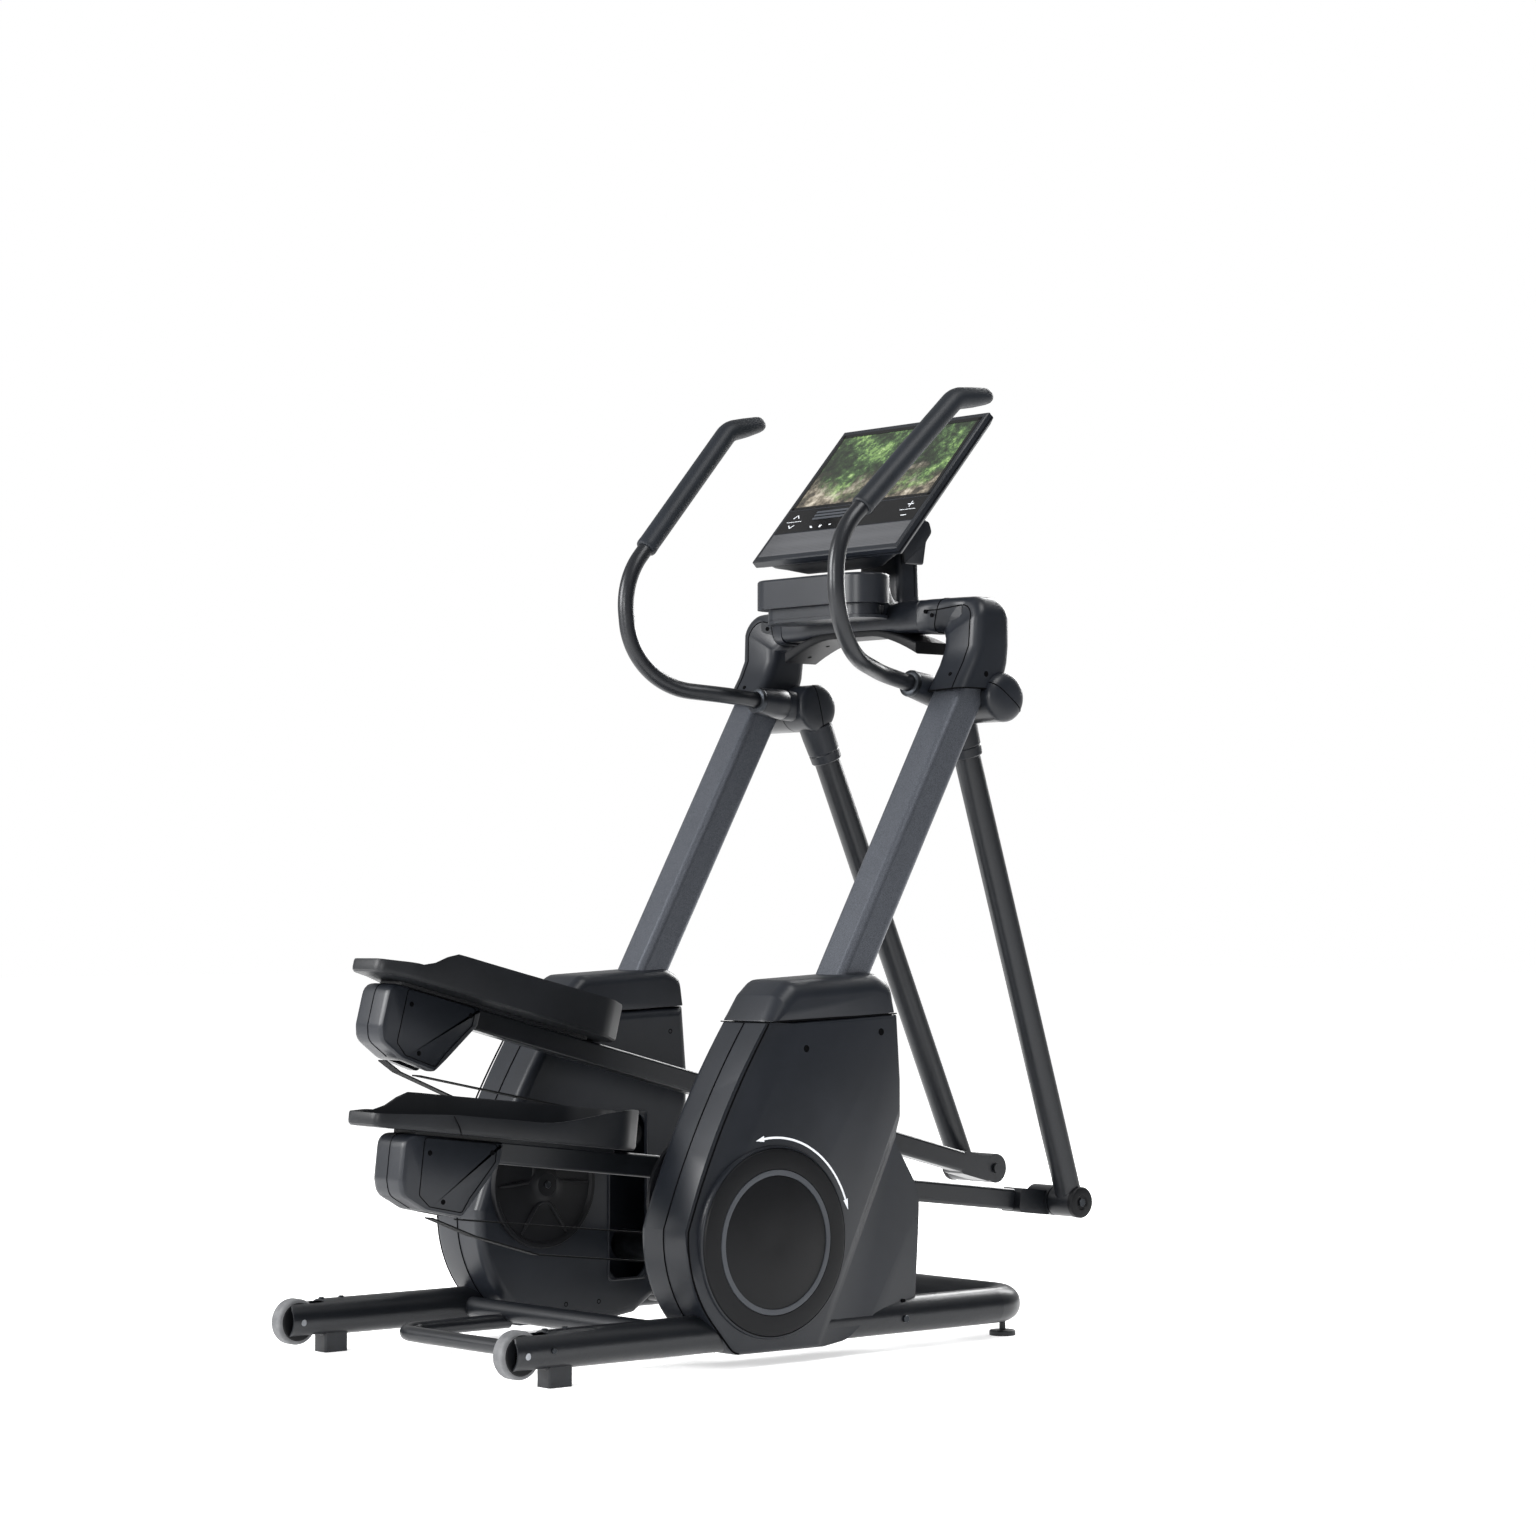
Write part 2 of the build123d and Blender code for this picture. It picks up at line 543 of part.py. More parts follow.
# ---------------------------------------------------------------- console
def face_plane():
    tilt = radians(SCREEN_TILT)
    return Plane(origin=(0, FACE_Y, FACE_Z), x_dir=(1, 0, 0), z_dir=(0, -sin(tilt), cos(tilt)))


def tilt_axis():
    point = face_plane().from_local_coords((0, TILT_DOWN, TILT_BACK))
    return point.Y, point.Z


GLASS_MID = CONSOLE_H / 2 - 12 - GLASS_H / 2
PANEL_H = 64.0
PANEL_MID = GLASS_MID - GLASS_H / 2 - 4 - PANEL_H / 2
BAND_H = 62.0
BAND_MID = PANEL_MID - PANEL_H / 2 - 3 - BAND_H / 2


def on_face(width, height, depth, mid, top=0.0):
    """A plate let into the console's face: mid is its height up the face."""
    plate = Pos(0, mid, top - depth / 2) * Box(width, height, depth)
    return face_plane() * plate


def console_bezel():
    frame = Pos(0, 0, -BEZEL_T / 2) * Box(CONSOLE_W, CONSOLE_H, BEZEL_T)
    frame = chamfer(frame.edges().group_by(Axis.Z)[0], 8)
    frame = chamfer(frame.edges().group_by(Axis.Z)[-1], 2)
    body = face_plane() * frame
    body -= on_face(GLASS_W + 0.4, GLASS_H + 0.4, GLASS_T + 1, GLASS_MID, 1)
    body -= on_face(GLASS_W + 0.4, PANEL_H + 0.4, 4, PANEL_MID, 1)
    return body - on_face(GLASS_W + 0.4, BAND_H + 0.4, 4, BAND_MID, 1)


def screen():
    return on_face(GLASS_W, GLASS_H, GLASS_T, GLASS_MID)


def control_panel():
    return on_face(GLASS_W, PANEL_H, 3, PANEL_MID)


def speaker_band():
    return on_face(GLASS_W, BAND_H, 3, BAND_MID)


def console_rear_shell():
    rear = face_plane().offset(-BEZEL_T - 0.2)
    wide = rear * (Pos(0, 4) * Rectangle(372, 300))
    narrow = rear.offset(-34) * (Pos(0, 10) * Rectangle(270, 190))
    shell = loft([wide, narrow])
    for s in (-1, 1):
        ear = Pos(s * 53, TILT_DOWN, -76) * Box(20, 44, 64)
        shell += face_plane() * ear
    y, z = tilt_axis()
    shell -= bar_x(TILT_PIN_R + RUNNING_GAP, -120, 120, y, z)
    swing_room = bar_x(26, -42.5, 42.5, y, z)
    return shell - swing_room


# ---------------------------------------------------------------- output
def paired(name, build, right_pose, left_pose):
    return {"right_" + name: right_pose(build()), "left_" + name: left_pose(build())}


def same(shape):
    return shape


def all_nodes():
    nodes = {
        "base_tube": base_tube(), "cross_tubes": cross_tubes(), "lift_handle": lift_handle(),
        "rear_feet": rear_feet(), "axle_pins": axle_pins(), "tower_caps": tower_caps(),
        "side_discs": both(side_disc), "side_rings": both(side_ring),
        "crossbeam": crossbeam(), "crossbeam_cover": crossbeam_cover(),
        "arch_plate": arch_plate(), "mast": mast(), "console_bracket": console_bracket(),
        "tray": tray(), "cup_holder": cup_holder(), "arm_axles": both(arm_axle),
        "hub_caps": hub_caps(), "flywheel": flywheel(), "cross_shaft": cross_shaft(),
        "console_bezel": console_bezel(), "screen": screen(), "control_panel": control_panel(),
        "speaker_band": speaker_band(), "console_rear_shell": console_rear_shell(),
        "right_strap": right_strap(), "left_strap": left_strap(),
    }
    for name, build in (("tower_outer_shell", tower_outer_shell),
                        ("tower_inner_shell", tower_inner_shell), ("upright", upright),
                        ("knuckle_cover", finished_knuckle), ("crank", crank),
                        ("wheel", wheel), ("screw_foot", screw_foot)):
        nodes.update(paired(name, build, same, left_of))
    for name, build in (("hub_sleeve", hub_sleeve), ("leg_tube", leg_tube),
                        ("lower_pivot", lower_pivot), ("handle_tube", handle_tube),
                        ("grip", grip)):
        nodes.update(paired(name, build, right_arm_pose, left_arm_pose))
    for name, build in (("beam", beam), ("fork", fork), ("rear_housing", rear_housing),
                        ("strap_pulley", strap_pulley), ("pedal", pedal)):
        nodes.update(paired(name, build, right_pedal_pose, left_pedal_pose))
    return nodes


def main():
    os.makedirs("parts", exist_ok=True)
    low_y, high_y = 1e9, -1e9
    for name, shape in all_nodes().items():
        placed = Pos(0, SHIFT_Y, 0) * shape
        export_step(placed, f"parts/{name}.step")
        box = placed.bounding_box()
        low_y, high_y = min(low_y, box.min.Y), max(high_y, box.max.Y)
    print("middle along Y:", round((low_y + high_y) / 2, 2))


main()
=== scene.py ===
# %% [markdown]
# # A free-stride elliptical trainer
# The machine is a tube frame with two drive towers. Two swing arms hang from the tops of two
# leaning uprights, and each carries a pedal arm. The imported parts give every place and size,
# so this lesson only adds skins, small fittings and finishes, and never moves a part.

# %% Load the frame
import bmesh
import bpy
import math
from math import atan2, cos, pi, radians, sin
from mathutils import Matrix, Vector


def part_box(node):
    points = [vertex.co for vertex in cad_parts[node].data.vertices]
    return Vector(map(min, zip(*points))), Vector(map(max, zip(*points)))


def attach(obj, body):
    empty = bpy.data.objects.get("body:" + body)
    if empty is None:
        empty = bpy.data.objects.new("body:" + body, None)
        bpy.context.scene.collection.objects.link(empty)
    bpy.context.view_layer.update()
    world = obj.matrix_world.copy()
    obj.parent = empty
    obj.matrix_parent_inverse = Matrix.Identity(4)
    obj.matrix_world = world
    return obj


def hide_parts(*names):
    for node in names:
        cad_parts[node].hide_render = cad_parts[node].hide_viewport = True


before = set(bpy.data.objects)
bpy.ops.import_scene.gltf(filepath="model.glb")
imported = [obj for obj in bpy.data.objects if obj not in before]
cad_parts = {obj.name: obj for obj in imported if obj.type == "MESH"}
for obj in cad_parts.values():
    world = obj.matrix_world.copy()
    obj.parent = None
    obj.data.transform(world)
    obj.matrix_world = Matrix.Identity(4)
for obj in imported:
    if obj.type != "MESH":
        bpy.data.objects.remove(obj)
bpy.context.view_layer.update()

# %% [markdown]
# The frame was drawn in millimetres about the middle of the drive, and then moved so that the
# origin is under the whole machine. The side discs give that middle back: their centre lies
# 29 mm behind it. `at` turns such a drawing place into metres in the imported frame.

# %% Places
MM = 0.001
DISC_Y, DISC_Z = -29, 221
disc_low, disc_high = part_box("side_discs")
DRIVE_Y = (disc_low[1] + disc_high[1]) / 2 - DISC_Y * MM
SIDES = {"right": 1, "left": -1}


def at(x, y, z):
    """A place in millimetres from the middle of the drive, as metres in the frame."""
    return Vector((x * MM, y * MM + DRIVE_Y, z * MM))


print("middle of the drive at y =", round(DRIVE_Y, 4))

# %% [markdown]
# ## Materials
# Every finish here is made by nodes from the real material: its colour as a hex value, how it
# was made, and a pattern whose scale comes from a real size. One function adds a node, sets
# its values and joins its links. Another turns a hex colour to linear light.

# %% Material helpers
def linear(hex_colour):
    """An sRGB hex colour as the linear RGBA that a shader wants."""
    parts = [int(hex_colour[i:i + 2], 16) / 255 for i in (1, 3, 5)]
    return [p / 12.92 if p <= 0.04045 else ((p + 0.055) / 1.055) ** 2.4 for p in parts] + [1]


def add(tree, kind, inputs=None, **settings):
    """Add a node. A tuple in inputs is a link: (node, name of its output)."""
    node = tree.nodes.new(kind)
    for key, value in settings.items():
        setattr(node, key, value)
    for key, value in (inputs or {}).items():
        if isinstance(value, tuple) and isinstance(value[0], bpy.types.Node):
            tree.links.new(value[0].outputs[value[1]], node.inputs[key])
        else:
            node.inputs[key].default_value = value
    return node


def per_metre(size_mm):
    """A texture scale that gives a pattern of this size on metre coordinates."""
    return 1000 / size_mm


def start_material(name):
    material = bpy.data.materials.new(name)
    material.use_nodes = True
    tree = material.node_tree
    tree.nodes.clear()
    place = add(tree, "ShaderNodeTexCoord")
    return material, tree, (place, "Object")


def close_material(tree, **inputs):
    names = {key.replace("_", " "): value for key, value in inputs.items()}
    shader = add(tree, "ShaderNodeBsdfPrincipled", names)
    add(tree, "ShaderNodeOutputMaterial", {"Surface": (shader, "BSDF")})


def ramp(tree, factor, stops):
    """A colour ramp from (position, hex) stops."""
    node = add(tree, "ShaderNodeValToRGB", {"Fac": factor})
    while len(node.color_ramp.elements) < len(stops):
        node.color_ramp.elements.new(0.5)
    for element, (position, colour) in zip(node.color_ramp.elements, stops):
        element.position, element.color = position, linear(colour)
    return node, "Color"


def spread(tree, factor, low, high):
    """Map a 0 to 1 pattern to a range of roughness."""
    node = add(tree, "ShaderNodeMapRange", {"Value": factor, "To Min": low, "To Max": high})
    return node, "Result"


def grain(tree, place, size_mm, detail=3.0, roughness=0.6):
    node = add(tree, "ShaderNodeTexNoise", {"Vector": place, "Scale": per_metre(size_mm),
                                            "Detail": detail, "Roughness": roughness})
    return node, "Fac"


def relief(tree, height, depth_mm, strength=0.5):
    node = add(tree, "ShaderNodeBump", {"Height": height, "Distance": depth_mm * MM,
                                        "Strength": strength})
    return node, "Normal"

# %% [markdown]
# The big shells are **injection-moulded ABS** with a spark-eroded mould: a dark slate plastic
# that scatters light softly, so highlights along the bent edges are wide and pale. The real
# texture is about 0.15 mm, too fine to show here, so it is drawn at 1.4 mm and very shallow.

# %% Moulded ABS
def moulded_abs(name, dark, light, rough_low, rough_high, shine=0.36):
    material, tree, place = start_material(name)
    fine = grain(tree, place, 1.4)
    cloud = grain(tree, place, 160, detail=4)
    colour = ramp(tree, cloud, [(0.3, dark), (0.7, light)])
    rough = spread(tree, cloud, rough_low, rough_high)
    close_material(tree, Base_Color=colour, Roughness=rough, IOR=1.45, Specular_IOR_Level=shine,
                   Normal=relief(tree, fine, 0.12, 0.35))
    return material


shell_abs = moulded_abs("moulded_abs_slate", "#14171c", "#1a1d23", 0.33, 0.41)
pedal_abs = moulded_abs("moulded_abs_pedal", "#0e1013", "#14161a", 0.4, 0.5, 0.3)
disc_abs = moulded_abs("moulded_abs_black", "#0a0b0d", "#0f1013", 0.42, 0.52, 0.2)
ring_abs = moulded_abs("moulded_abs_grey_ring", "#34373c", "#404348", 0.42, 0.5)
print("moulded plastics:", shell_abs.name, disc_abs.name, ring_abs.name)

# %% [markdown]
# The uprights are **steel tube with a metallic powder coat**: tiny aluminium flakes in a
# graphite base. Flakes are about 0.05 mm, drawn at 0.9 mm so that they sparkle a little. The
# black tubes have a plain satin powder coat with the faint orange peel of baked powder, whose
# waves are some 4 mm long.

# %% Powder coats
def powder_coat(name, base, flake, metallic, rough, peel_mm):
    material, tree, place = start_material(name)
    flakes = add(tree, "ShaderNodeTexVoronoi", {"Vector": place, "Scale": per_metre(0.9)})
    colour = ramp(tree, (flakes, "Distance"), [(0.25, flake), (0.6, base)])
    peel = grain(tree, place, peel_mm, detail=1.5)
    wear = grain(tree, place, 90, detail=5)
    close_material(tree, Base_Color=colour, Metallic=metallic,
                   Roughness=spread(tree, wear, rough - 0.05, rough + 0.06),
                   Normal=relief(tree, peel, 0.15, 0.4))
    return material


graphite_coat = powder_coat("graphite_powder_coat", "#404349", "#666a72", 0.6, 0.34, 4.0)
black_coat = powder_coat("black_powder_coat", "#111317", "#1a1d22", 0.25, 0.33, 4.0)
print("powder coats:", graphite_coat.name, black_coat.name)

# %% [markdown]
# Bare metal shows on pins, shafts, bolts and the collar round each handle. **Turned steel**
# carries fine rings across the bar from the lathe tool; the feed is 0.2 mm, drawn at 1.2 mm.
# The flywheel is **cast iron**, sand-cast and only skimmed on its rim.

# %% Bare metals
def turned_steel(name, colour_low, colour_high, rough):
    material, tree, place = start_material(name)
    rings = add(tree, "ShaderNodeTexWave", {"Vector": place, "Scale": per_metre(1.2) / 6,
                                            "Distortion": 0.6, "Detail": 2.0},
                wave_type="BANDS", bands_direction="X")
    smear = grain(tree, place, 25)
    close_material(tree, Base_Color=ramp(tree, smear, [(0.3, colour_low), (0.7, colour_high)]),
                   Metallic=1.0, Roughness=spread(tree, smear, rough - 0.06, rough + 0.08),
                   Normal=relief(tree, (rings, "Fac"), 0.04, 0.3))
    return material


def cast_iron():
    material, tree, place = start_material("skimmed_cast_iron")
    sand = grain(tree, place, 2.5, detail=6)
    close_material(tree, Base_Color=ramp(tree, sand, [(0.35, "#2b2b2c"), (0.7, "#4a4a4a")]),
                   Metallic=0.9, Roughness=spread(tree, sand, 0.45, 0.7),
                   Normal=relief(tree, sand, 0.3, 0.6))
    return material


pin_steel = turned_steel("turned_steel", "#7d8085", "#a3a6aa", 0.32)
dark_steel = turned_steel("blackened_steel", "#2c2e31", "#3a3d41", 0.36)
iron = cast_iron()
print("metals:", pin_steel.name, dark_steel.name, iron.name)

# %% [markdown]
# Feet and mats are **moulded EPDM rubber**, nearly black and matt, with a pebbled skin of
# 1.6 mm bumps. The grips are a smooth soft-touch elastomer, moulded like the shells. The
# transport wheels are a grey **polyurethane** with a scuffed tread.

# %% Rubbers
def rubber(name, dark, light, pebble_mm, depth_mm, rough):
    material, tree, place = start_material(name)
    pebbles = add(tree, "ShaderNodeTexVoronoi", {"Vector": place, "Scale": per_metre(pebble_mm)})
    dust = grain(tree, place, 30, detail=5)
    close_material(tree, Base_Color=ramp(tree, dust, [(0.35, dark), (0.75, light)]),
                   Roughness=spread(tree, dust, rough - 0.08, rough + 0.06),
                   Specular_IOR_Level=0.4, IOR=1.52,
                   Normal=relief(tree, (pebbles, "Distance"), depth_mm, 0.4))
    return material


grip_rubber = rubber("pebbled_epdm", "#16181c", "#1e2126", 1.6, 0.02, 0.5)
wheel_rubber = rubber("scuffed_polyurethane", "#505153", "#6c6d6f", 3.0, 0.2, 0.62)
grip_tpe = moulded_abs("soft_touch_tpe", "#15181c", "#1b1f25", 0.42, 0.52, 0.3)
print("rubbers:", grip_rubber.name, wheel_rubber.name)

# %% [markdown]
# The straps are **woven polyester webbing**: ribs run along the strap every 2.2 mm, crossed by
# the weft every 1.6 mm. Two bands of waves multiply to make that plain weave.

# %% Webbing
def webbing():
    material, tree, place = start_material("woven_polyester_webbing")
    warp = add(tree, "ShaderNodeTexWave", {"Vector": place, "Scale": per_metre(2.2) / 6},
               bands_direction="X")
    weft = add(tree, "ShaderNodeTexWave", {"Vector": place, "Scale": per_metre(1.6) / 6},
               bands_direction="Y")
    weave = add(tree, "ShaderNodeMath", {0: (warp, "Fac"), 1: (weft, "Fac")},
                operation="MULTIPLY")
    close_material(tree, Base_Color=ramp(tree, (weave, "Value"), [(0.1, "#070809"),
                                                                  (0.9, "#15171a")]),
                   Roughness=spread(tree, (weave, "Value"), 0.7, 0.88), Specular_IOR_Level=0.15,
                   Normal=relief(tree, (weave, "Value"), 0.4, 0.7))
    return material


strap_web = webbing()

# %% [markdown]
# The console's control strip is **black acrylic**, smooth enough to mirror the room. The band
# below it is a **perforated speaker grille** in grey polycarbonate: 1.2 mm holes every 3 mm.
# Printed marks are a matt white ink.

# %% Console finishes
def black_acrylic():
    material, tree, place = start_material("black_acrylic")
    smudge = grain(tree, place, 45, detail=6)
    close_material(tree, Base_Color=ramp(tree, smudge, [(0.3, "#050506"), (0.8, "#0b0c0e")]),
                   Roughness=spread(tree, smudge, 0.16, 0.28), IOR=1.49,
                   Specular_IOR_Level=0.22)
    return material


def speaker_grille():
    material, tree, place = start_material("perforated_polycarbonate")
    holes = add(tree, "ShaderNodeTexVoronoi", {"Vector": place, "Scale": per_metre(3.0),
                                               "Randomness": 0.0})
    # The holes are dark dots on the grey: painted shade for the inside of each hole.
    close_material(tree, Base_Color=ramp(tree, (holes, "Distance"), [(0.2, "#141517"),
                                                                     (0.36, "#4a4b4e")]),
                   Roughness=0.5, Normal=relief(tree, (holes, "Distance"), 0.5, 0.5))
    return material


def printed_ink(name, colour):
    material, tree, place = start_material(name)
    fleck = grain(tree, place, 2.0)
    close_material(tree, Base_Color=ramp(tree, fleck, [(0.2, colour), (0.9, "#cfd4da")]),
                   Roughness=spread(tree, fleck, 0.45, 0.6))
    return material


acrylic = black_acrylic()
grille = speaker_grille()
white_ink = printed_ink("white_ink", "#e8ebef")

# %% [markdown]
# The screen shows a made-up landscape: pale rock at the foot, leafy greens above it, dark gaps
# and a few bright leaves. It is a **backlit panel**, so the colours come out as light as well
# as off the surface. Leaves are drawn some 16 mm across on the glass, rocks some 34 mm.

# %% Lit screen
def lit_screen(mid, up):
    material, tree, place = start_material("backlit_forest_picture")
    leaves = grain(tree, place, 16, detail=9, roughness=0.78)
    clumps = grain(tree, place, 70, detail=3)
    mix = add(tree, "ShaderNodeMix", {"Factor": 0.45, "A": leaves, "B": clumps})
    green = ramp(tree, (mix, "Result"), [(0.38, "#070b06"), (0.47, "#182413"),
                                         (0.53, "#314528"), (0.59, "#5e7843"),
                                         (0.69, "#b3bd95")])
    stone = grain(tree, place, 34, detail=9, roughness=0.7)
    rock = ramp(tree, stone, [(0.36, "#12110e"), (0.47, "#3d382f"), (0.55, "#696255"),
                              (0.67, "#a8a193")])
    apart = add(tree, "ShaderNodeVectorMath", {0: place, 1: tuple(mid)}, operation="SUBTRACT")
    height = add(tree, "ShaderNodeVectorMath", {0: (apart, "Vector"), 1: tuple(up)},
                 operation="DOT_PRODUCT")
    wavy = add(tree, "ShaderNodeMath", {0: clumps, 1: 0.16, 2: (height, "Value")},
               operation="MULTIPLY_ADD")
    above = add(tree, "ShaderNodeMapRange", {"Value": (wavy, "Value"), "From Min": 0.0,
                                             "From Max": 0.05})
    colour_a, colour_b, colour_out = 6, 7, 2
    picture = add(tree, "ShaderNodeMix", {"Factor": (above, "Result"), colour_a: rock,
                                          colour_b: green}, data_type="RGBA")
    shader = add(tree, "ShaderNodeBsdfPrincipled",
                 {"Base Color": (picture, colour_out), "Roughness": 0.12, "IOR": 1.5,
                  "Emission Color": (picture, colour_out), "Emission Strength": 0.5})
    add(tree, "ShaderNodeOutputMaterial", {"Surface": (shader, "BSDF")})
    return material

# %% [markdown]
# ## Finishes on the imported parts
# Most parts keep their own shape and only get their finish here. The first word that a part's
# name holds decides it.

# %% Give each part its finish
CONSOLE_TILT = 48.4
TILT = radians(CONSOLE_TILT)
UP_FACE = Vector((0, cos(TILT), sin(TILT)))
screen_low, screen_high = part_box("screen")
landscape = lit_screen((Vector(screen_low) + Vector(screen_high)) / 2, UP_FACE)

FINISH_BY_WORD = [
    ("upright", graphite_coat), ("crossbeam_cover", shell_abs), ("crossbeam", black_coat),
    ("base_tube", black_coat), ("cross_tubes", black_coat), ("lift_handle", black_coat),
    ("leg_tube", black_coat), ("handle_tube", black_coat), ("fork", black_coat),
    ("lower_pivot", black_coat), ("beam", black_coat), ("cross_shaft", dark_steel),
    ("arm_axles", black_coat), ("axle_pins", pin_steel), ("flywheel", iron),
    ("grip", grip_rubber), ("rear_feet", grip_rubber), ("screw_foot", grip_rubber),
    ("wheel", wheel_rubber), ("screen", landscape), ("control_panel", acrylic),
    ("speaker_band", grille), ("side_rings", ring_abs), ("side_discs", disc_abs),
    ("crank", disc_abs), ("strap_pulley", disc_abs), ("strap", strap_web),
]


def finish_for(name):
    for word, material in FINISH_BY_WORD:
        if word in name:
            return material
    return shell_abs


for name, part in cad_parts.items():
    part.data.materials.clear()
    part.data.materials.append(finish_for(name))
print("finished", len(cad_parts), "parts")

# %% [markdown]
# ## Modelling helpers
# Skins are modelled as by hand: a filled circle is added, its rim is laid on an outline, and it
# is extruded rim by rim. `skin` does that for any list of rims with the same number of points.
# Every finished piece sits at the origin and rides on a body. Most are plastic pieces on the
# frame. What is alike on both sides is made on the right and mirrored.

# %% Helpers for new pieces
def only(piece):
    bpy.ops.object.select_all(action="DESELECT")
    piece.select_set(True)
    bpy.context.view_layer.objects.active = piece


def lay_rim(piece, before, after):
    """Move the selected rim of a piece in edit mode from its old points to new ones."""
    mesh = bmesh.from_edit_mesh(piece.data)
    chosen = [v for v in mesh.verts if v.select]
    for vert in chosen:
        nearest = min(range(len(before)), key=lambda i: (before[i] - vert.co).length_squared)
        vert.co = after[nearest]
    bmesh.update_edit_mesh(piece.data)


def skin(name, rims):
    """Extrude a filled outline from rim to rim and close it."""
    bpy.ops.object.select_all(action="DESELECT")
    bpy.ops.mesh.primitive_circle_add(vertices=len(rims[0]), radius=1, fill_type="NGON")
    piece = bpy.context.object
    piece.name = name
    start = [v.co.copy() for v in piece.data.vertices]
    bpy.ops.object.mode_set(mode="EDIT")
    bpy.ops.mesh.select_all(action="SELECT")
    lay_rim(piece, start, rims[0])
    for before, after in zip(rims, rims[1:]):
        bpy.ops.mesh.extrude_region_move()
        lay_rim(piece, before, after)
    bpy.ops.mesh.select_all(action="SELECT")
    bpy.ops.mesh.normals_make_consistent(inside=False)
    bpy.ops.object.mode_set(mode="OBJECT")
    return piece


def modify(piece, kind, **settings):
    """Add a modifier, set it and apply it."""
    only(piece)
    modifier = piece.modifiers.new(kind.lower(), kind)
    for key, value in settings.items():
        setattr(modifier, key, value)
    bpy.ops.object.modifier_apply(modifier=modifier.name)


def carve(piece, tool):
    modify(piece, "BOOLEAN", object=tool, operation="DIFFERENCE", solver="EXACT")
    bpy.data.objects.remove(tool, do_unlink=True)


def settle(piece, name, material, replaced=(), body="frame"):
    """Name a finished piece, put its place in its mesh, and hand it to the frame."""
    only(piece)
    bpy.ops.object.transform_apply(location=True, rotation=True, scale=True)
    bpy.ops.object.shade_smooth_by_angle(angle=radians(32))
    piece.name = piece.data.name = name
    piece.data.materials.clear()
    piece.data.materials.append(material)
    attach(piece, body)
    if replaced:
        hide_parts(*replaced)
    made.append(name)


def mirrored(piece, name):
    """A copy on the other side of the middle plane, with its faces turned outwards again."""
    twin = bpy.data.objects.new(name, piece.data.copy())
    bpy.context.collection.objects.link(twin)
    only(twin)
    bpy.ops.object.mode_set(mode="EDIT")
    bpy.ops.mesh.select_all(action="SELECT")
    bpy.ops.transform.mirror(constraint_axis=(True, False, False), orient_type="GLOBAL",
                             center_override=(0, 0, 0))
    bpy.ops.mesh.normals_make_consistent(inside=False)
    bpy.ops.object.mode_set(mode="OBJECT")
    return twin


def join(pieces):
    bpy.ops.object.select_all(action="DESELECT")
    for piece in pieces:
        piece.select_set(True)
    bpy.context.view_layer.objects.active = pieces[0]
    bpy.ops.object.join()
    return pieces[0]


def settle_both(name, piece, material, replaced=()):
    """Join a right-hand piece with its mirror image and settle them as one on the frame."""
    settle(join([piece, mirrored(piece, name)]), name, material, replaced)


def settle_twins(tail, piece, material, part=None, body=None):
    """Settle a right-hand piece and its mirror image as two pieces, each with its side's name."""
    for side, twin in (("right", piece), ("left", mirrored(piece, "left" + tail))):
        settle(twin, side + tail, material, (side + part,) if part else (),
               side + body if body else "frame")


def arc_between(start, mid, end, steps):
    """Points on the circle through three (y, z) points, from start to before end."""
    (ax, ay), (bx, by), (cx, cy) = start, mid, end
    d = 2 * (ax * (by - cy) + bx * (cy - ay) + cx * (ay - by))
    a2, b2, c2 = ax * ax + ay * ay, bx * bx + by * by, cx * cx + cy * cy
    ux = (a2 * (by - cy) + b2 * (cy - ay) + c2 * (ay - by)) / d
    uy = (a2 * (cx - bx) + b2 * (ax - cx) + c2 * (bx - ax)) / d
    radius = ((ax - ux) ** 2 + (ay - uy) ** 2) ** 0.5
    first, last = atan2(ay - uy, ax - ux), atan2(cy - uy, cx - ux)
    turn = (last - first + pi) % (2 * pi) - pi
    return [(ux + radius * cos(first + turn * i / steps),
             uy + radius * sin(first + turn * i / steps)) for i in range(steps)]


def rounded(points, radius, steps=5):
    """Round the corners of a closed outline of (a, b) points."""
    out = []
    count = len(points)
    for i in range(count):
        here, back, ahead = (Vector(points[j % count]) for j in (i, i - 1, i + 1))
        to_back, to_ahead = (back - here).normalized(), (ahead - here).normalized()
        half = to_back.angle(to_ahead) / 2
        size = radius[i] if isinstance(radius, (list, tuple)) else radius
        reach = min(size / max(0.05, math.tan(half)), 0.45 * (back - here).length,
                    0.45 * (ahead - here).length)
        first, last = here + to_back * reach, here + to_ahead * reach
        for k in range(steps + 1):
            t = k / steps
            out.append(tuple(first * (1 - t) ** 2 + here * 2 * t * (1 - t) + last * t * t))
    return out


def shrink(points, by):
    """Move a closed outline inwards by a distance."""
    area = sum(a[0] * b[1] - b[0] * a[1] for a, b in zip(points, points[1:] + points[:1]))
    sense = 1 if area > 0 else -1
    out = []
    count = len(points)
    for i in range(count):
        back, here, ahead = (Vector(points[j % count]) for j in (i - 1, i, i + 1))
        run = (ahead - back).normalized()
        out.append((here.x - sense * by * run.y, here.y + sense * by * run.x))
    return out


def rectangle(a0, a1, b0, b1, radius, steps):
    """The outline of a rectangle with round corners."""
    return rounded([(a0, b0), (a1, b0), (a1, b1), (a0, b1)], radius, steps)


def side_rim(points, x):
    """An outline seen from the side, (y, z) in drawing millimetres, at distance x."""
    return [at(x, y, z) for y, z in points]


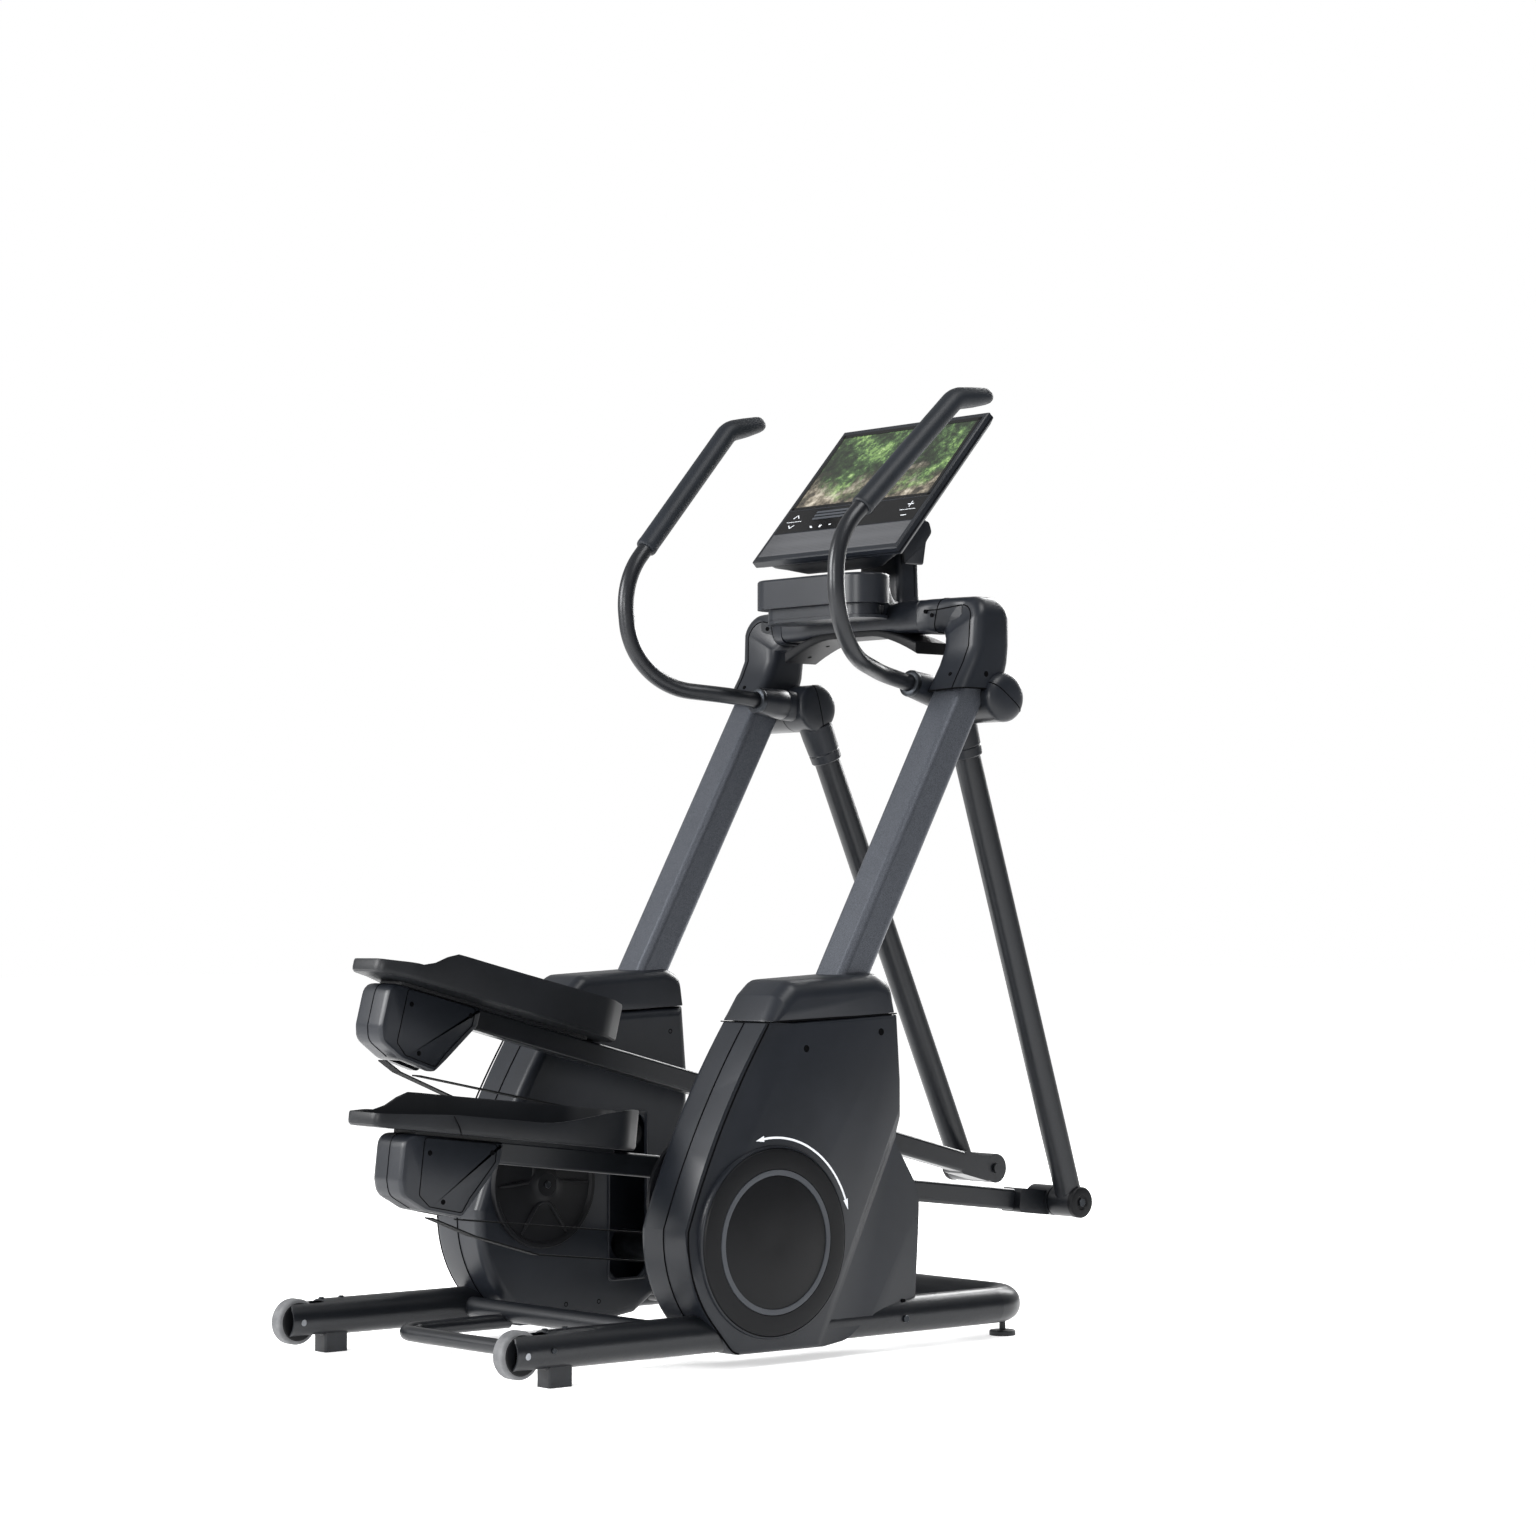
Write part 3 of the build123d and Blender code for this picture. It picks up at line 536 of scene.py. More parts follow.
def tube_along(name, path, radius, points=20):
    """A round bar swept along a list of places in metres, radius in mm or one per place."""
    rims = []
    reference = Vector((1, 0, 0))
    for i, place in enumerate(path):
        ahead = path[min(i + 1, len(path) - 1)] - path[max(i - 1, 0)]
        across = (reference - ahead * reference.dot(ahead) / ahead.length_squared).normalized()
        up = ahead.normalized().cross(across)
        size = (radius[i] if isinstance(radius, (list, tuple)) else radius) * MM
        rims.append([place + (across * cos(2 * pi * k / points) + up * sin(2 * pi * k / points))
                     * size for k in range(points)])
    return skin(name, rims)


made = []

# %% [markdown]
# ## Small fittings
# Parting lines between mouldings are thin dark beads laid half into the surface, and screw
# holes are small dark dished cups. Their near-black is painted shade for the inside of the gap
# or hole. Both are used all over, so they come first.

# %% Parting lines and screw cups
def shadow_gap():
    """Painted shade for the dark inside of a gap or a screw hole: dusty plastic that no light
    reaches.
    """
    material, tree, place = start_material("shadow_gap_black")
    dust = grain(tree, place, 4)
    close_material(tree, Base_Color=ramp(tree, dust, [(0.3, "#020203"), (0.8, "#060708")]),
                   Roughness=spread(tree, dust, 0.85, 1.0), Specular_IOR_Level=0.05)
    return material


# Painted shade: the near-black of every parting line, screw cup and slot below.
painted_gap_shade = shadow_gap()


def bead(path, radius=1.1):
    """A parting line: a thin bead along places in metres."""
    return tube_along("bead", path, radius, points=6)


def ring_of(centre, normal, radius, points=20):
    """Places on a circle in millimetres about a place in metres."""
    normal = Vector(normal).normalized()
    across = normal.orthogonal().normalized()
    up = normal.cross(across)
    return [centre + (across * cos(2 * pi * k / points) + up * sin(2 * pi * k / points))
            * radius * MM for k in range(points)]


def turned(name, centre, normal, profile, points=48):
    """A turned piece from (distance along the normal, radius) steps in millimetres."""
    step = Vector(normal).normalized() * MM
    return skin(name, [ring_of(centre + step * d, normal, r, points) for d, r in profile])


def screw_cup(centre, normal, radius=5.5):
    return turned("cup", centre, normal, [(-3, radius), (0.3, radius), (0.7, radius - 0.8),
                                          (0.7, radius - 1.4), (0.35, radius - 2.2)], 18)


def hex_bolt(centre, normal, across_flats=17, height=7):
    radius = across_flats / 2 / cos(pi / 6)
    return turned("bolt", centre, normal, [(-1, radius), (height - 1, radius),
                                           (height, radius - 1.2)], 6)

# %% [markdown]
# ## Knuckles and crossbeam
# Each upright ends in a moulded knuckle that leans forward, turns through a right angle with
# a soft outer corner, and runs into the crossbeam. Its sections lie between an outer and an
# inner line, so the inner corner can be tight while the outer one is round. Its rear face
# keeps leaning round the bend and then falls back to the beam.

# %% Knuckles
KNUCKLE_IN, KNUCKLE_OUT = 245, 345


def knuckle_rims():
    """Sections of the right knuckle cover, from the upright round the bend to the beam."""
    outer, inner, span = [], [], []
    for z, rear, front in ((1234, 468, 580), (1254, 479, 592), (1285, 498, 602),
                           (1318, 513, 606)):
        outer.append((KNUCKLE_OUT, z))
        inner.append((KNUCKLE_IN, z - 4))
        span.append((rear, front))
    for k in range(9):
        a = radians(90 * k / 8)
        outer.append((KNUCKLE_OUT - 40 + 40 * cos(a), 1373 + 40 * sin(a)))
        inner.append((KNUCKLE_IN - 12 * sin(a), 1333 + 12 * (1 - cos(a))))
        span.append((515 + 10 * sin(a), 606 - 12 * k / 8))
    for x, rear, front in ((275, 517, 592), (248, 505, 590), (225, 496, 589), (199, 493, 589)):
        outer.append((x, 1413 - (275 - x) * 0.03))
        inner.append((min(x - 2, 231), 1345.5))
        span.append((rear, front))
    rims = []
    for (ox, oz), (ix, iz), (rear, front) in zip(outer, inner, span):
        half = Vector((ox - ix, oz - iz)) / 2
        size, deep = half.length, (front - rear) / 2
        flat = rounded([(size, deep), (-size, deep), (-size, -deep), (size, -deep)],
                       min(24, size * 0.7), 6)
        mid = Vector(((ox + ix) / 2, (oz + iz) / 2))
        way = half.normalized()
        rims.append([at(mid.x + way.x * a, (rear + front) / 2 + b, mid.y + way.y * a)
                     for a, b in flat])
    return rims


rims = knuckle_rims()
settle_twins("_knuckle_skin", skin("right_knuckle_skin", rims), shell_abs, "_knuckle_cover")
REAR_EDGE = 21
seam = bead([rim[REAR_EDGE] for rim in rims[:-1]], 1.2)
collar = bead(rims[0] + rims[0][:1], 1.6)
end_line = bead(rims[-3] + rims[-3][:1], 1.0)
cups = [screw_cup(at(*place), way, size) for place, way, size in (
    ((345, 536, 1262), (1, 0, 0), 5.5), ((222, 492.6, 1386), (0, -1, 0), 4),
    ((240, 492.6, 1378), (0, -1, 0), 4), ((300, 484, 1262), (0, -1, 0.4), 4))]
settle_both("knuckle_lines", join([seam, collar, end_line] + cups), painted_gap_shade)
print("knuckles:", made)

# %% [markdown]
# The crossbeam cover is a little slimmer in its middle, an arched plate hangs below it, and a
# neck carries the tray behind it.

# %% Crossbeam, arch and tray neck


def beam_rim(x, grow):
    return side_rim(rectangle(492 - grow, 589 + grow, 1348 - grow, 1412 + grow, 22, 6), x)


cover = skin("crossbeam_skin", [beam_rim(x, g) for x, g in (
    (-198, -3), (-196, -1), (-140, -1), (-120, -3), (120, -3), (140, -1), (196, -1),
    (198, -3))])
settle(cover, "crossbeam_skin", shell_abs, ("crossbeam_cover",))


def arch_drop(x):
    """How far the arched plate hangs down at a distance from the middle plane."""
    return 40 * max(0, (abs(x) - 60) / 130) ** 1.6



arch_rims = []
for k in range(-12, 13):
    x = k * 190 / 12
    arch_rims.append(side_rim(rectangle(498, 584, 1347 - arch_drop(x), 1362 - arch_drop(x) * 0.8,
                                        6, 4), x))
settle(skin("arch_skin", arch_rims), "arch_skin", disc_abs, ("arch_plate",))
arch_cups = [screw_cup(at(x, 541, 1347 - arch_drop(x)), (-0.3, 0, -1), 4.5) for x in (110, 165)]
settle_both("arch_screws", join(arch_cups), painted_gap_shade)
neck_rims = []
for y, half, low, high in ((466, 128, 1384, 1452), (482, 132, 1380, 1452), (500, 122, 1376, 1446),
                           (520, 104, 1372, 1436), (545, 88, 1372, 1424), (575, 78, 1372, 1418)):
    flat = rounded([(half, high), (-half, high), (-half * 0.86, low), (half * 0.86, low)], 20, 5)
    neck_rims.append([at(x, y, z) for x, z in flat])
settle(skin("tray_neck", neck_rims), "tray_neck", shell_abs)
print("top assembly:", made)

# %% [markdown]
# ## Drive towers
# The outer shell is a closed skin on the side outline, with a rolled edge. Three shallow
# planes are then cut into its outer face: one along the rear edge, one diagonal band that
# steps down in front, and one panel at the lower front. The parting lines run along the rear
# edge and under the cap.

# %% Tower outer shells
TOWER_FACE = 376
OUTLINE = (arc_between((-37, 612), (-156, 414), (-226, 250), 14)
           + arc_between((-226, 250), (-210, 150), (-172, 86), 10)
           + [(-172, 86), (-119, 25), (98, 24), (155, 32), (198, 61), (327, 62), (345, 80),
              (338, 237), (335, 297), (274, 391), (287, 434), (287, 499), (276, 623)])


def smooth_outline(by):
    """The outline with rounded corners below and in front, moved inwards by a distance."""
    radii = [1, 60, 40, 60, 60, 30, 12, 12, 80, 60, 60, 30, 30, 1, 1]
    turns = rounded(OUTLINE[23:] + OUTLINE[:1], radii, 5)[6:-6]
    points = OUTLINE[:24] + turns
    apart = [here for here, ahead in zip(points, points[1:] + points[:1])
             if (Vector(here) - Vector(ahead)).length > 1.5]
    return shrink(apart, by)


def cutter(start, ahead, profile):
    """A long prism along a line on the side face; profile is (across, outward) in mm."""
    way = (Vector(ahead) - Vector(start)).normalized()
    across = Vector((-way.y, way.x))
    rims = []
    for along in (-420, 900):
        base = Vector(start) + way * along
        rims.append([at(TOWER_FACE + out, base.x + across.x * side, base.y + across.y * side)
                     for side, out in profile])
    return skin("cutter", rims)


shell = skin("right_outer_shell_skin", [side_rim(smooth_outline(by), x) for x, by in (
    (306.5, 0), (363, 0), (368, 0.8), (372, 2.6), (374.8, 5.4), (TOWER_FACE, 9.5))])
REAR_BEVEL = (28, 603), (-91, 378), ((0.3, 0.05), (-140, -25), (-140, 40), (0.3, 40))
DIAGONAL_STEP = (286, 462), (152, 192), ((-0.3, 0.1), (21, -7), (230, -7.01), (230, 40),
                                         (-0.3, 40))
FRONT_PANEL = (338, 271), (211, 62), ((-0.3, -6.94), (120, -32), (120, 20), (-0.3, 20))
for start, ahead, profile in (REAR_BEVEL, DIAGONAL_STEP, FRONT_PANEL):
    carve(shell, cutter(start, ahead, profile))
settle_twins("_outer_shell_skin", shell, shell_abs, "_tower_outer_shell")


OUT = (1, 0, 0)
REAR_RUN = 30
tower_lines = [bead(side_rim(smooth_outline(by)[:REAR_RUN], x), radius)
               for by, x, radius in ((0, 306.2, 1.5), (2.2, 371.8, 1.7))]
tower_lines += [bead([at(*place) for place in places], 1.4) for places in (
    ((TOWER_FACE, -30, 613.2), (TOWER_FACE, 120, 618), (372, 276, 623)),
    ((375, -37, 612.5), (300, -38, 612), (240, -37, 612)))]
tower_lines += [screw_cup(at(x, y, z), OUT, radius) for x, y, z, radius in (
    (TOWER_FACE, 50, 564, 6.5), (TOWER_FACE, 234, 590, 6.5), (369.5, 257, 400, 5.5),
    (367, 325, 245, 5.5))]
# The slot is a near-black block: painted shade for the inside of the opening.
slot_outline = rectangle(301, 311, 70, 95, 4.9, 4)
tower_lines.append(skin("slot", [side_rim(slot_outline, x) for x in (340, 358.5)]))
settle_both("tower_lines", join(tower_lines), painted_gap_shade)
print("towers:", made[-3:])

# %% [markdown]
# Each tower is closed by a cap that the upright passes through. Its upper edge is rolled, more
# on the outside than on the inside; its lower edge stays on the shell.

# %% Tower caps
INNER_ROLL, OUTER_ROLL = 22, 34


def cap_rim(x, inset):
    corners = [(-37 + inset * 0.5, 613.5), (276 - inset * 0.3, 624.5),
               (271 - inset * 0.5, 684 - inset), (238 - inset * 0.2, 698 - inset),
               (22 + inset * 0.3, 687 - inset), (-8 + inset * 0.55, 661 - inset * 0.8)]
    return side_rim(rounded(corners, [1.5, 1.5, 26, 40, 30, 16], 5), x)


cap_rims = []
for k in range(7):
    a = radians(90 * k / 6)
    cap_rims.append(cap_rim(237.5 + INNER_ROLL * (1 - cos(a)), INNER_ROLL * (1 - sin(a))))
for k in range(9):
    a = radians(90 * (8 - k) / 8)
    cap_rims.append(cap_rim(TOWER_FACE - 1 - OUTER_ROLL * (1 - cos(a)), OUTER_ROLL * (1 - sin(a))))
settle_both("tower_cap_skins", skin("cap", cap_rims), shell_abs, ("tower_caps",))

# %% [markdown]
# The side disc has a rolled rim, a shallow dish and a grey ring set into it. The white arc
# above it, with an arrowhead at each end, is a pad-printed mark with no words.

# %% Side discs, rings and arcs
SURROUND = [(352, 172.5), (378, 172.5), (380.5, 171), (381, 168.5), (376, 167), (352, 167)]
DISC = [(356, 167.4), (380, 167.4), (383, 165.5), (384.4, 161), (384.4, 131), (383, 130),
        (383, 118.5), (383.8, 117), (383.8, 20), (383.4, 3)]
RING = [(382.4, 119), (384.9, 119.6), (385, 121.5), (385, 127.5), (384.9, 129), (382.4, 129.6)]
for name, profile, finish, replaced, slot in (
        ("side_surrounds", SURROUND, shell_abs, (), "shell_plastic"),
        ("side_disc_skins", DISC, disc_abs, ("side_discs",), "shell_plastic"),
        ("side_ring_skins", RING, ring_abs, ("side_rings",), "ring_grey")):
    settle_both(name, turned(name, at(0, DISC_Y, DISC_Z), OUT, profile, 96), finish, replaced)


def arc_mark():
    def polar(angle, radius):
        return DISC_Y + radius * cos(radians(angle)), DISC_Z + radius * sin(radians(angle))
    high, low = 97, 21
    steps = [high - k * (high - low) / 40 for k in range(41)]
    outer = [polar(a, 187.9) for a in steps]
    inner = [polar(a, 184.1) for a in reversed(steps)]
    head_low = [polar(low, 191.5), polar(low - 6, 186.3), polar(low + 0.3, 181)]
    head_high = [polar(high, 181), polar(high + 6, 186.3), polar(high, 191.5)]
    outline = outer + head_low + inner + head_high
    return skin("arc", [side_rim(outline, TOWER_FACE + d) for d in (-0.5, 0.4)])


settle_both("arc_marks", arc_mark(), white_ink)
print("discs and arcs:", made[-4:])

# %% [markdown]
# ## Crank discs
# The crank disc in each tower's inner wall has a raised rim, a dished face with three
# V-shaped stiffening ribs, and a hub with a screw.

# %% Crank discs
CRANK_Y, CRANK_Z = -79, 292
INWARD = (-1, 0, 0)


def crank_face():
    disc = turned("right_crank_face", at(0, CRANK_Y, CRANK_Z), INWARD, [
        (-235, 121.5), (-227, 121.5), (-224.5, 119.5), (-224.5, 113), (-230, 109), (-231, 50),
        (-227, 34), (-224, 26), (-219, 22), (-218.5, 8)], 72)
    pieces = [disc]
    for turn in (30, 150, 270):
        path = []
        for side, reach in ((-30, 107), (-29, 84), (-27, 60), (-22, 40), (-8, 33), (8, 33),
                            (22, 40), (27, 60), (29, 84), (30, 107)):
            a = radians(turn + side)
            path.append(at(229.5, CRANK_Y + reach * cos(a), CRANK_Z + reach * sin(a)))
        pieces.append(tube_along("rib", path, [2] + [4] * 8 + [2], points=10))
    return join(pieces)


settle_twins("_crank_face", crank_face(), disc_abs, "_crank", "_crank_disc")
settle_twins("_crank_screw", hex_bolt(at(219, CRANK_Y, CRANK_Z), INWARD, 13, 4), dark_steel,
             body="_crank_disc")
print("cranks:", made[-4:])

# %% [markdown]
# ## Hubs of the swing arms
# Each arm turns between two domed caps. A parting line runs slantwise over each dome, a steel
# collar closes the socket of the handle, and the leg tube has a moulded sleeve. The foot of the
# left leg stands further forward than that of the right one.

# %% Hub caps, collars and sleeves
HUB_Y, HUB_Z = 581, 1219
CAP_RADIUS, CAP_WALL = 47.5, 4
LEG_LEAN = {"right": 17.9, "left": 24.5}
SOCKET_RISE = 12


def dome_radius(a):
    return CAP_RADIUS * cos(a) ** 0.55


def dome(start, grow):
    """A domed cap on the hub's axis, from its flat rim at start."""
    steps = [(start, CAP_RADIUS), (start + CAP_WALL, CAP_RADIUS)]
    for k in range(1, 9):
        a = radians(90 * k / 8)
        steps.append((start + CAP_WALL + grow * sin(a), max(4, dome_radius(a))))
    return turned("dome", at(0, HUB_Y, HUB_Z), OUT, steps, 48)


def dome_line(start, grow, angle):
    """A parting line straight across a dome."""
    half = [(start + CAP_WALL + grow * sin(radians(a)), dome_radius(radians(a)))
            for a in range(0, 81, 8)]
    across = half + [(d, -r) for d, r in reversed(half)]
    return bead([at(d, HUB_Y + r * cos(radians(angle)), HUB_Z + r * sin(radians(angle)))
                 for d, r in across], 1.0)


settle_both("hub_cap_lines", join([dome_line(342, 18, 145), dome_line(-191.6, 11, 105)]),
            painted_gap_shade)
settle_both("hub_cap_skins", join([dome(342, 18), dome(-191.6, 11)]), shell_abs, ("hub_caps",))


def arm_turn(side, y, z):
    """A place beside the hub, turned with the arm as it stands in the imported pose."""
    a = radians(LEG_LEAN[side] - LEG_LEAN["right"])
    return HUB_Y + y * cos(a) - z * sin(a), HUB_Z + y * sin(a) + z * cos(a)


def leg_point(side, x, along):
    """A place on the middle line of a leg, some way down from the hub."""
    a = radians(LEG_LEAN[side])
    return at(SIDES[side] * x, HUB_Y + along * sin(a), HUB_Z - along * cos(a))


for side, sign in SIDES.items():
    start = at(sign * 222, HUB_Y, HUB_Z)
    rise = radians(SOCKET_RISE)
    rear = at(sign * 222, *arm_turn(side, -cos(rise), sin(rise))) - start
    collar = turned("collar", start, rear, [(122, 20), (124, 25.5), (129, 26.5), (134, 25.5),
                                            (136, 21), (136, 17), (122, 17)], 40)
    settle(collar, side + "_handle_collar", dark_steel, body=side + "_arm")
    socket = turned("socket", start, rear, [(30, 30), (62, 30.4), (64, 29.2), (66, 30.2),
                                            (90, 28.6), (124, 26), (125, 22)], 40)
    leg_way = leg_point(side, 0, 1) - leg_point(side, 0, 0)
    sleeve = turned("sleeve", leg_point(side, 210, 0), leg_way,
                    [(38, 34), (60, 33.6), (92, 32), (94, 30.6), (96, 31.8), (112, 31),
                     (114, 29.5), (114, 25)], 40)
    settle(join([socket, sleeve]), side + "_socket_skins", shell_abs, body=side + "_arm")
print("hubs:", made[-5:])

# %% [markdown]
# ## Pedals
# Each pedal is one deep moulded tray. Its plan is foot-shaped; the wall on the machine side
# stays high, the outer wall dips in the middle, and both run down to a low tail. The rims go
# up the outside, over the lip and down to the floor. A ribbed rubber mat lies inside, and a
# bracket with three lugs holds the tray on its beam.

# %% Pedal trays
PEDAL_SLOPE = {"right": 6.7, "left": 14.4}
LEG_LENGTH = 1035
INNER_WALL = ((1070, 90), (1500, 86), (1578, 49), (1660, 42))
OUTER_WALL = ((1070, 92), (1105, 92), (1340, 52), (1500, 51), (1660, 41))


def pedal_arm(side, x, u, w):
    """A place on a pedal arm: u runs back from the lower pivot, w is square to the beam."""
    a = radians(PEDAL_SLOPE[side])
    step = Vector((SIDES[side] * x, w * sin(a) - u * cos(a), u * sin(a) + w * cos(a)))
    return leg_point(side, 0, LEG_LENGTH) + step * MM


def pedal_rim(side, x, points):
    """An outline in (u, w) at distance x outwards from the middle plane."""
    return [pedal_arm(side, x, u, w) for u, w in points]


def between(value, stops):
    """A smooth curve through (place, height) stops."""
    for (u0, h0), (u1, h1) in zip(stops, stops[1:]):
        if value <= u1:
            t = min(1, max(0, (value - u0) / (u1 - u0)))
            return h0 + (h1 - h0) * t * t * (3 - 2 * t)
    return stops[-1][1]


def pedal_outline():
    """The tray seen from above, in (x, u), with a point at least every 24 mm."""
    x0, x1, front, rear = 32, 212, 1075, 1650
    corners = [(x0, front + 60), (x0 + 40, front), (x1 - 52, front), (x1, front + 70),
               (x1, rear - 130), (x1 - 50, rear - 40), (x1 - 60, rear), (x0 + 30, rear),
               (x0, rear - 60)]
    turns = rounded(corners, [60, 46, 50, 70, 90, 40, 22, 26, 60], 6)
    points = []
    for here, ahead in zip(turns, turns[1:] + turns[:1]):
        steps = max(1, round((Vector(ahead) - Vector(here)).length / 24))
        points += [tuple(Vector(here).lerp(Vector(ahead), k / steps)) for k in range(steps)]
    return points


def pedal_tray(side):
    base = pedal_outline()
    middle = Vector((122, 1360))
    rims = []
    for inset, lift, on_wall in ((16, 18, 0), (5, 18.5, 0), (1, 22, 0), (0, 27, 0),
                                 (0, -3, 1), (1.2, 0, 1), (3.6, 0, 1), (5, -3, 1),
                                 (7, 27.5, 0), (12, 26, 0)):
        rim = []
        for x, u in base:
            pull = (Vector((x, u)) - middle).normalized() * inset
            inner = 1 - min(1, max(0, (x - 60) / 120))
            top = inner * between(u, INNER_WALL) + (1 - inner) * between(u, OUTER_WALL)
            w = top + lift if on_wall else lift
            rim.append(pedal_arm(side, x - pull.x, u - pull.y, w))
        rims.append(rim)
    return skin(side + "_tray", rims)


def slab_on_pedal(side, x0, x1, u0, u1, w0, w1, corner=3.0, lip=1.2):
    """A block with rounded corners and a small lip round its top."""
    flat = rectangle(x0, x1, u0, u1, corner, 3)
    return skin("block", [[pedal_arm(side, x, u, w) for x, u in shrink(flat, by)]
                          for by, w in ((0, w0), (0, w1 - lip), (lip, w1))])


def settle_on_pedal(side, tail, piece, material, replaced=()):
    settle(piece, side + tail, material, replaced, side + "_pedal_arm")


for side in SIDES:
    bracket = [slab_on_pedal(side, 99, 159, u - 20, u + 20, 14.8, 19, 4)
               for u in (1180, 1330, 1480)]
    bracket.append(slab_on_pedal(side, 94, 164, 1130, 1572, 11.6, 19, 6))
    settle_on_pedal(side, "_pedal_tray", join([pedal_tray(side)] + bracket), pedal_abs,
                    (side + "_pedal",))
    seam = bead([pedal_arm(side, *place) for place in (
        (207, 1508, 18.5), (211.6, 1512, 22), (212, 1516, 30), (212, 1530, 48))], 0.9)
    settle_on_pedal(side, "_pedal_seam", seam, painted_gap_shade)
    mat = [slab_on_pedal(side, 52, 190, 1108, 1500, 25, 28.5, 24)]
    mat += [slab_on_pedal(side, 62, 180, u, u + 9, 28, 31, 4, 0.8) for u in range(1130, 1490, 22)]
    settle_on_pedal(side, "_pedal_mat", join(mat), grip_rubber)
print("pedals:", made[-6:])

# %% [markdown]
# The rear housing is moulded in two halves that meet on the strap's middle plane, with a
# screwed side plate. The strap leaves by a mouth in its underside.

# %% Rear housings
HOUSING = [(1388, 12), (1388, -22), (1440, -96), (1462, -125), (1540, -118), (1592, -96),
           (1600, -70), (1600, 12)]
HOUSING_TURNS = [3, 8, 40, 12, 40, 34, 34, 26]


def housing_skin(side):
    """The moulded housing, with the mouth that the strap leaves by cut into its underside."""
    edge = rounded(HOUSING, HOUSING_TURNS, 6)
    body = skin("housing", [pedal_rim(side, x, shrink(edge, by)) for x, by in (
        (86, 7), (88, 3), (93, 0.6), (99, 0), (161, 0), (167, 0.6), (172, 3), (174, 7))])
    mouth = [(1455, -96), (1529, -96), (1529, -140), (1455, -140)]
    carve(body, skin("mouth", [pedal_rim(side, x, mouth) for x in (111, 145)]))
    return body


def housing_lines(side):
    """The parting line of the two halves, and on both faces the plate's edge and screws."""
    back = [p for p in rounded(HOUSING, HOUSING_TURNS, 6) if p[0] > 1545]
    pieces = [bead(pedal_rim(side, 130, back), 1.0)]
    plate = rounded([(1404, 8), (1404, -24), (1452, -90), (1466, -116), (1536, -110),
                     (1560, -92), (1560, 8)], 8, 4)
    for x, way in ((85.9, -1), (174.1, 1)):
        pieces.append(bead(pedal_rim(side, x, plate + plate[:1]), 0.9))
        pieces += [screw_cup(pedal_arm(side, x, u, w), (SIDES[side] * way, 0, 0), 4.6)
                   for u, w in ((1546, -18), (1508, -100), (1412, -8))]
    return join(pieces)


for side in SIDES:
    settle_on_pedal(side, "_housing_skin", housing_skin(side), shell_abs,
                    (side + "_rear_housing",))
    settle_on_pedal(side, "_housing_lines", housing_lines(side), painted_gap_shade)
print("rear housings:", made[-4:])

# %% [markdown]
# ## Lower pivots and grips
# The lower pivot ends in a black cap with a hex bolt in a dished ring. The grips are soft
# sleeves with a slightly thicker collar below and an end that turns back and tapers.

# %% Pivot caps, bolts and grips
HANDLE_X = 295


def bent(points, radius, steps=8):
    """A path in (y, z) with its corners turned into curves."""
    out = [points[0]]
    for back, here, ahead in zip(points, points[1:], points[2:]):
        here = Vector(here)
        first = here + (Vector(back) - here).normalized() * radius
        last = here + (Vector(ahead) - here).normalized() * radius
        for k in range(steps + 1):
            t = k / steps
            out.append(tuple(first * (1 - t) ** 2 + here * 2 * t * (1 - t) + last * t * t))
    return out + [points[-1]]


for side, sign in SIDES.items():
    arm, out = side + "_arm", (sign, 0, 0)
    cap = turned("cap", leg_point(side, 0, LEG_LENGTH), out, [
        (232, 31), (240, 31), (242.5, 29), (243.4, 26), (243.4, 15), (241, 13), (240.5, 5)], 48)
    settle(cap, side + "_pivot_cap", disc_abs, body=arm)
    bolt = hex_bolt(leg_point(side, 240, LEG_LENGTH), out, 15, 5)
    settle(bolt, side + "_pivot_bolt", dark_steel, body=arm)
    path = bent([(-322, 346.5), (-78, 571.5), (12, 584)], 15)
    way = (Vector(path[1]) - Vector(path[0])).normalized()
    low = [tuple(Vector(path[0]) + way * d) for d in (0, 2, 5, 13, 15, 18)]
    high = [(-34, 577.4), (0, 582.4), (8, 584), (11.5, 585.5), (12.5, 586)]
    places = [at(sign * HANDLE_X, *arm_turn(side, y, z)) for y, z in low + path[1:-1] + high]
    sizes = [18, 20.6, 21.4, 21.4, 21, 21] + [21] * (len(path) - 2) + [19.8, 16.6, 15, 13, 9]
    grip = tube_along("grip", places, sizes, points=28)
    settle(grip, side + "_grip_sleeve", grip_tpe, (side + "_grip",), arm)
print("pivots and grips:", made[-6:])

# %% [markdown]
# ## Console
# The glass, control strip and grille keep their places. A belly is added under the bezel, and
# the strip gets its printed marks: arrows and a rule on the left, plus and minus on the right,
# a vent of three slats between them and a row of small marks below it. None is a letter.

# %% Console belly and marks
OUT_FACE = Vector((0, -sin(TILT), cos(TILT)))
STEM = 1.7


def face(x, up, out):
    """A place on the console: x across, up along its face and out of it, in millimetres."""
    return at(x, 552.5, 1647.5) + (UP_FACE * up + OUT_FACE * out) * MM


def face_rim(points, out):
    return [face(x, up, out) for x, up in points]


def hull(name, steps, radius):
    """A body behind the face, from (out, half width, low, high) steps."""
    return skin(name, [face_rim(rectangle(-half, half, low, high, radius, 5), out)
                       for out, half, low, high in steps])


def mark(points):
    return skin("mark", [face_rim(points, out) for out in (-0.4, 0.35)])


def chevron(x, up, size, sign):
    """An arrow without a shaft, pointing up or down."""
    half = sign * size / 2
    foot = up - half - sign * STEM
    return mark([(x - size, up - half), (x, up + half), (x + size, up - half),
                 (x + size - STEM, foot), (x, up + half - sign * STEM * 1.3),
                 (x - size + STEM, foot)])


def bar(x0, x1, up, thick):
    low, high = up - thick / 2, up + thick / 2
    return mark([(x0, low), (x1, low), (x1, high), (x0, high)])


